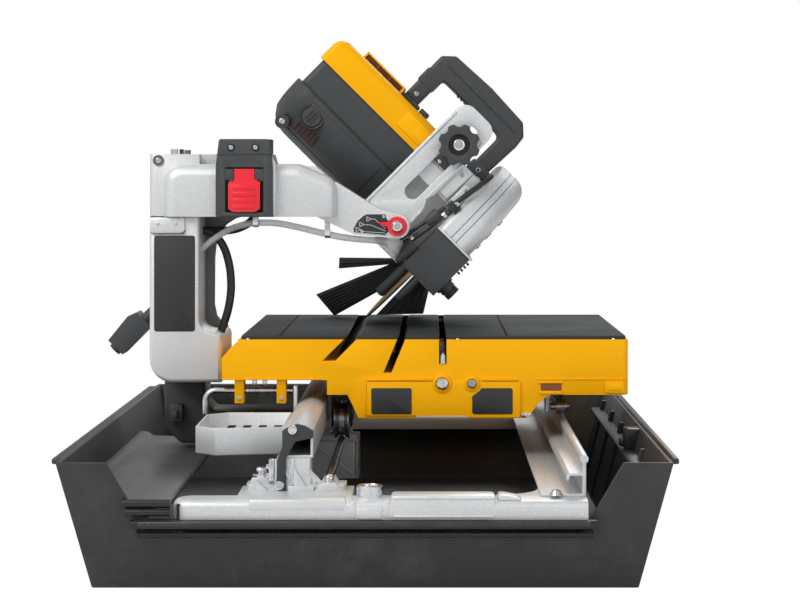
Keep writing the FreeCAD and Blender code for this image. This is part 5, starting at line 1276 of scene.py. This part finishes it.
cartDetail = {
    "face": -104.5,
    "plates": (roundedOutline(-1.3, 46.5, 149.8, 180.8, 2.0),
               [(118.4, 151.6), (120.2, 149.8), (164.6, 149.8), (166.4, 151.6), (166.4, 179.0),
                (164.6, 180.8), (129.5, 180.8), (126.6, 177.2), (121.4, 173.4), (118.4, 171.0)]),
    "screws": ((82.7, 186.0, 7.2), (118.0, 186.0, 5.4)),
    "padGrooves": (-110.5, 160.0), "deckScrewHeight": 238.0,
    "deckScrews": ((101.3, -99.6), (286.3, -99.6), (-148, -99.6), (101.3, 295), (286.3, 295)),
    "ridges": (((-6, 190.6), (69, 190.6)), ((130, 190.6), (172, 190.6)), ((-8.2, 188), (-8.2, 150)),
               ((174.2, 188), (174.2, 148))),
    "belts": ((-158, -60, -103.2, -101, 190.4, 192.0, 0.7), (196, 302, -103.2, -101, 190.4, 192.0, 0.7)),
    "springTurns": 9, "springStart": -149.5, "springPitch": 3.6,
    "bossScrews": ((-158.5, -99.2, 168, 2.6, "front"), (-108.5, -99.2, 168, 2.6, "front"),
                   (-140, -98, 187.6, 3.2, "front"), (-128, -98, 187.6, 3.2, "front")),
}


def cartPieces():
    d = cartDetail
    face = d["face"]
    for name, outline in zip(("left", "right"), d["plates"]):
        panel("cart_plate_" + name, outline, face - 0.7, face + 0.4, 0.2, "plateBlack", "cart",
              "black_plastic")
    bosses = []
    for x, z, size in d["screws"]:
        cup = turned([(0, 0), (size + 4.4, 0), (size + 3.6, 3.2), (size + 0.9, 4.2), (size + 0.6, 2.4),
                      (0, 2.4)], 48)
        cup.transform(Matrix.Scale(mm, 4))
        cup.transform(Matrix.Translation(Vector((x, face + 1.8, z)) * mm)
                      @ Matrix.Rotation(math.pi / 2, 4, "X"))
        bosses.append(cup)
    keepMesh("cart_screw_bosses", gather(bosses), "yellowMoulding", "cart")
    heads = [(x, face - 0.4, z, size, "front") for x, z, size in d["screws"]]
    scatter("cart_button_screw", screwHead, heads[:1], "chrome", "cart")
    scatter("cart_dark_screw", screwHead, heads[1:], "turnedSteel", "cart")
    heads = [(x, y, d["deckScrewHeight"], 2.6, "up") for x, y in d["deckScrews"]]
    scatter("cart_deck_screws", screwHead, heads, "chrome", "cart")

    # grooves that part the rubber, a lip round the deck and a swelling round the apron panel
    # the grooves are flush near-black strips: painted shade, not cuts
    grooves = [block(x - 1.3, x + 1.3, -96.6, 288.5, cartTop - 0.3, cartTop + 0.16, 0.05)
               for x in d["padGrooves"]]
    keepMesh("pad_grooves", gather(grooves), "paintedGrooveShade", "cart")
    ridge = []
    for line in d["ridges"]:
        ridge += ribbonAlong(line, 2.2, face - 1.0, face + 1.6)
    keepMesh("apron_ridges", gather([softened(mesh, 0.8 * mm) for mesh in ridge]), "yellowMoulding",
             "cart")
    belts = [block(*box) for box in d["belts"]]
    keepMesh("apron_belt", gather(belts), "yellowMoulding", "cart")

    # hand hollow and moulded boss at the right
    hollow = roundedOutline(199.8, 224.4, 175.4, 187.0, 2.0)
    # the hollow's floor is a dim yellow of painted shade
    panel("apron_pocket", hollow, -102.6, -101.4, 0.3, "paintedSoftShadeYellow", "cart", "yellow_plastic")
    panel("apron_pocket_ledge", [(198.5, 173.6), (226.0, 173.6), (226.0, 177.4), (198.5, 177.4)], -104.6,
          -101.4, 0.9, "yellowMoulding", "cart", "yellow_plastic")
    panel("apron_pocket_rim", [(196.6, 186.2), (226.0, 186.2), (226.0, 188.6), (196.6, 188.6)], -104.0,
          -101.4, 0.9, "yellowMoulding", "cart", "yellow_plastic")
    panel("apron_boss", roundedOutline(275.7, 299.0, 174.6, 187.4, 2.6), -104.8, -101.2, 1.2,
          "yellowMoulding", "cart", "yellow_plastic")
    panel("apron_boss_inset", roundedOutline(279.5, 295.4, 177.6, 184.4, 1.6), -105.4, -104.2, 0.5,
          "yellowMoulding", "cart", "yellow_plastic")
    clips = [block(176.5, 187.5, -105.2, -101.5, 146.6, 151.2, 0.8),
             block(180.5, 183.5, -106.2, -104.8, 145.4, 152.2, 0.5)]
    keepMesh("cart_clip", gather(clips), "chrome", "cart")
    belly = block(28, 74, -98, -92, 158.2, 166, 2.5)
    keepMesh("under_deck_drum", belly, "chrome", "cart")

    # lock pin hardware under the left end of the cart
    springs = []
    for i in range(d["springTurns"]):
        coil = turned([(3.75 * mm, -0.9 * mm), (5.2 * mm, -0.9 * mm), (5.2 * mm, 0.9 * mm),
                       (3.75 * mm, 0.9 * mm), (3.75 * mm, -0.9 * mm)], 24)
        across = d["springStart"] + d["springPitch"] * i
        coil.transform(Matrix.Translation(Vector((across, -84, 176)) * mm)
                       @ Matrix.Rotation(math.radians(84), 4, "Y"))
        springs.append(coil)
    keepMesh("lock_pin_spring", gather(springs), "chrome", "cart")
    scatter("lock_boss_screws", screwHead, d["bossScrews"], "chrome", "cart")


slotLinings()
cartPieces()
print("cart dressed")


capHead = socketHead(1.0 * mm, 1.6 * mm, 0.52 * mm)
baseDetail = {
    "castings": ((-121.0, -19.0, -424.8, -396.0, 84.0, 97.4, 3.6),
                 (27.0, 136.0, -425.0, -394.0, 76.0, 101.4, 4.0),
                 (-15, -9.6, -424.9, -398, 77, 95.6, 2.0), (-8.6, 18.6, -425.6, -396, 75.6, 89.4, 2.4),
                 (19.4, 25.6, -424.9, -398, 77, 96.0, 2.0)),
    "slope": ((138, 95.0), (164, 95.0), (159, 98.4), (146, 101.0), (139, 101.4)),
    "lines": ((29, 134, -426.2, -424.0, 78.2, 80.6, 0.9), (29, 134, -426.2, -424.0, 97.4, 99.4, 0.9)),
    "cup": (5.0, -401.0, 88.0, 108.6), "strutFace": -355.0, "supportFace": -350.0, "middleFace": 99.0,
    "plateTop": 101.6,
}


def basePieces():
    d = baseDetail
    castings = [block(*box) for box in d["castings"]]
    slope = slab([(x * mm, z * mm) for x, z in d["slope"]], -420 * mm, -394 * mm)
    castings.append(softened(slope, 1.6 * mm))
    castings += [block(*box) for box in d["lines"]]
    keepMesh("front_beam_castings", gather(castings), "castSilver", "root")
    x, y, low, high = d["cup"]
    cup = turned([(r * mm, z * mm) for r, z in ((7.3, low), (14.0, low), (14.0, high - 1), (13.2, high),
                                                (10.4, high), (9.6, high - 1.2), (9.4, high - 6),
                                                (7.3, high - 7), (7.3, low))], 48)
    cup.transform(Matrix.Translation(Vector((x, y, 0)) * mm))
    keepMesh("bushing_cup", cup, "chrome", "root")

    # support of the left rail: ribs, gussets, bosses and their bolts
    face = d["supportFace"]
    top = d["plateTop"]
    ribs = []
    for line in (((-97, 128), (-97, 103)), ((-79, 129), (-79, 103)), ((-62, 128), (-62, 112)),
                 ((-94, 126), (-82, 108))):
        ribs += [softened(mesh, 0.7 * mm) for mesh in ribbonAlong(line, 2.6, face - 2.6, face + 0.6)]
    for outline, near, far in ((((-77.6, 101), (-64.6, 101), (-77.6, 121)), face - 7.0, face - 2.2),
                               (((-56, 95.4), (-24.6, 95.4), (-33.4, 104.6), (-46.6, 104.6)),
                                face - 7.0, face + 0.6),
                               (((-118, 95.4), (-104.6, 95.4), (-118, 107.6)), face - 7.0, face + 0.6),
                               (((-126, 101), (-104, 101), (-104, 108.4), (-123, 108.4)),
                                face + 3, face + 28)):
        ribs.append(softened(slab([(v[0] * mm, v[1] * mm) for v in outline], near * mm, far * mm), 0.9 * mm))
    ribs.append(block(-84, -56, face - 7.0, face + 0.6, 95.4, 101.2, 0.9))
    keepMesh("support_ribs", gather(ribs), "castSilver", "root")
    back = d["middleFace"]
    braces = []
    for line in (((-80, 88), (-62, 74)), ((-50, 66), (-32, 52)), ((-84, 93), (-24, 93)),
                 ((-25, 92), (-25, 48))):
        braces += [softened(mesh, 0.7 * mm) for mesh in ribbonAlong(line, 2.4, back - 2.4, back + 0.6)]
    keepMesh("middle_braces", gather(braces), "castSilver", "root")
    heads = [(-58.6, -341, top - 0.2, 5.4, "up"), (-58.6, 108, top - 0.2, 5.4, "up"),
             (-113.6, -338, 109.0, 6.0, "up")]
    scatter("support_bolts", capHead, heads, "chrome", "root")
    rings = [(-113.6, -338, 107.8, 9.4, "up"), (-58.6, -341, top - 0.4, 7.6, "up"),
             (-58.6, 108, top - 0.4, 7.6, "up")]
    scatter("support_washers", washer, rings, "chrome", "root")
    face = d["strutFace"]
    scatter("strut_screws", screwHead, [(-78.9, face + 0.2, 161.0, 5.2, "front"),
                                        (-92.9, face + 0.2, 101.6, 5.2, "front")], "chrome", "root")
    clip = [block(-104.5, -99.0, face + 1, face + 12, 106, 129, 0.9),
            block(-107.5, -103.5, face + 3, face + 9, 109, 114, 1.0),
            block(-107.5, -103.5, face + 3, face + 9, 118.5, 123.5, 1.0)]
    keepMesh("strut_clamp", gather(clip), "chrome", "root")
    dome = turned([(0, 0), (5.2 * mm, 0), (5.1 * mm, 1.6 * mm), (4.2 * mm, 3.4 * mm), (2.4 * mm, 4.6 * mm),
                   (0, 5.0 * mm)], 32)
    dome.transform(Matrix.Translation(Vector((-40, face + 4.9, 108)) * mm)
                   @ Matrix.Rotation(math.pi / 2, 4, "X"))
    keepMesh("rod_end", dome, "chrome", "root")


trayDetail = {"plate": (-186.0, -97.0, -270.0, -128.0, 137.0, 140.0), "slots": 4, "slotStart": -163.0,
              "slotStep": 18.0}


# a slotted floor plate that stands higher than the tray's underside, and its bright rim
def trayPieces():
    d = trayDetail
    left, right, near, far, low, high = d["plate"]
    floor = [(left, near + 24), (left + 22, near), (right, near), (right, far), (left + 22, far),
             (left, far - 24)]
    bm = bmesh.new()
    bottom = [bm.verts.new(Vector((x, y, low)) * mm) for x, y in floor]
    upper = [bm.verts.new(Vector((x, y, high)) * mm) for x, y in floor]
    bm.faces.new(bottom[::-1])
    bm.faces.new(upper)
    for i in range(len(floor)):
        k = (i + 1) % len(floor)
        bm.faces.new((bottom[i], bottom[k], upper[k], upper[i]))
    bmesh.ops.recalc_face_normals(bm, faces=bm.faces)
    keepMesh("tray_floor_plate", softened(meshFrom(bm), 0.8 * mm), "castSilver", "root")
    # the slots are flush near-black bars of painted shade
    slot = block(-4.6, 4.6, -214, -134, high - 0.4, high + 0.25, 0.1)
    row("tray_slots", slot, d["slots"], (d["slotStart"], 0, 0), (d["slotStep"], 0, 0), "paintedGrooveShade", "root",
        "black_plastic")


panDetail = {"rear": ((-243, 74.6), (243, 74.6), (277, 134.4), (-277, 134.4)), "ribs": 6}


def panPieces():
    d = panDetail
    panel("pan_rear_wall", d["rear"], 424.8, 430.4, 1.4, "panMoulding", "root", "pan_plastic")
    panel("pan_rear_roll", [(-276, 129.0), (276, 129.0), (277.4, 134.6), (-277.4, 134.6)], 423.6, 431.2, 2.0,
          "panMoulding", "root", "pan_plastic")
    keepMesh("pan_rear_ledge", block(-243, 243, 409.5, 430.4, 68, 74.8, 1.4), "panMoulding", "root")
    # the shelf's lighter grey is a painted sheen of the black moulding, with dust spots
    shelf = [(-308, 101), (-299, 99.6), (-291, 94.6), (-210, 92.6), (-204, 90.0), (-204, 86.4), (-292, 89.6),
             (-306.6, 95)]
    panel("pan_side_shelf", shelf, -400, 146, 1.2, "shelfSheenAndDustGrey", "root", "pan_plastic")
    rolls = [pipe(vectors([(-252, -421, 92), (-225, -421.4, 92), (-201.5, -421.4, 92)]), 4.6 * mm),
             pipe(vectors([(-248, -424, 83.4), (-225, -424.4, 83.4), (-201.5, -424.4, 83.4)]), 4.0 * mm),
             pipe(vectors([(-242, -424.6, 71), (0, -425, 71), (242, -424.6, 71)]), 5.0 * mm),
             pipe(vectors([(-238, -409.6, 59), (0, -410, 59), (238, -409.6, 59)]), 4.2 * mm)]
    keepMesh("pan_rolled_lips", gather(rolls), "panGloss", "root")
    rib = slab([(x * mm, z * mm) for x, z in ((281, 7), (288, 7), (314.5, 121), (308, 121))], -3 * mm, 3 * mm)
    row("pan_wall_ribs", softened(rib, 1.2 * mm), d["ribs"], (0, -330, 0), (0, 132, 0), "panMoulding", "root",
        "pan_plastic")
    keepMesh("pan_wall_rail", block(294, 312, -360, 360, 104, 108, 1.2), "panMoulding", "root")
    keepMesh("pan_clip", gather([block(298, 317, -112, -88, 108, 133.6, 2.0),
                                 block(293, 299, -108, -92, 112, 121, 1.4)]), "panGloss", "root")
    clamp = [block(-254, -238, 6, 22, 128, 150, 2.0), block(-249, -243, -8, 8, 134, 143, 1.6)]
    keepMesh("foot_clamp", gather(clamp), "blackMoulding", "root")


basePieces()
trayPieces()
panPieces()
print("base frame, tray and pan dressed")
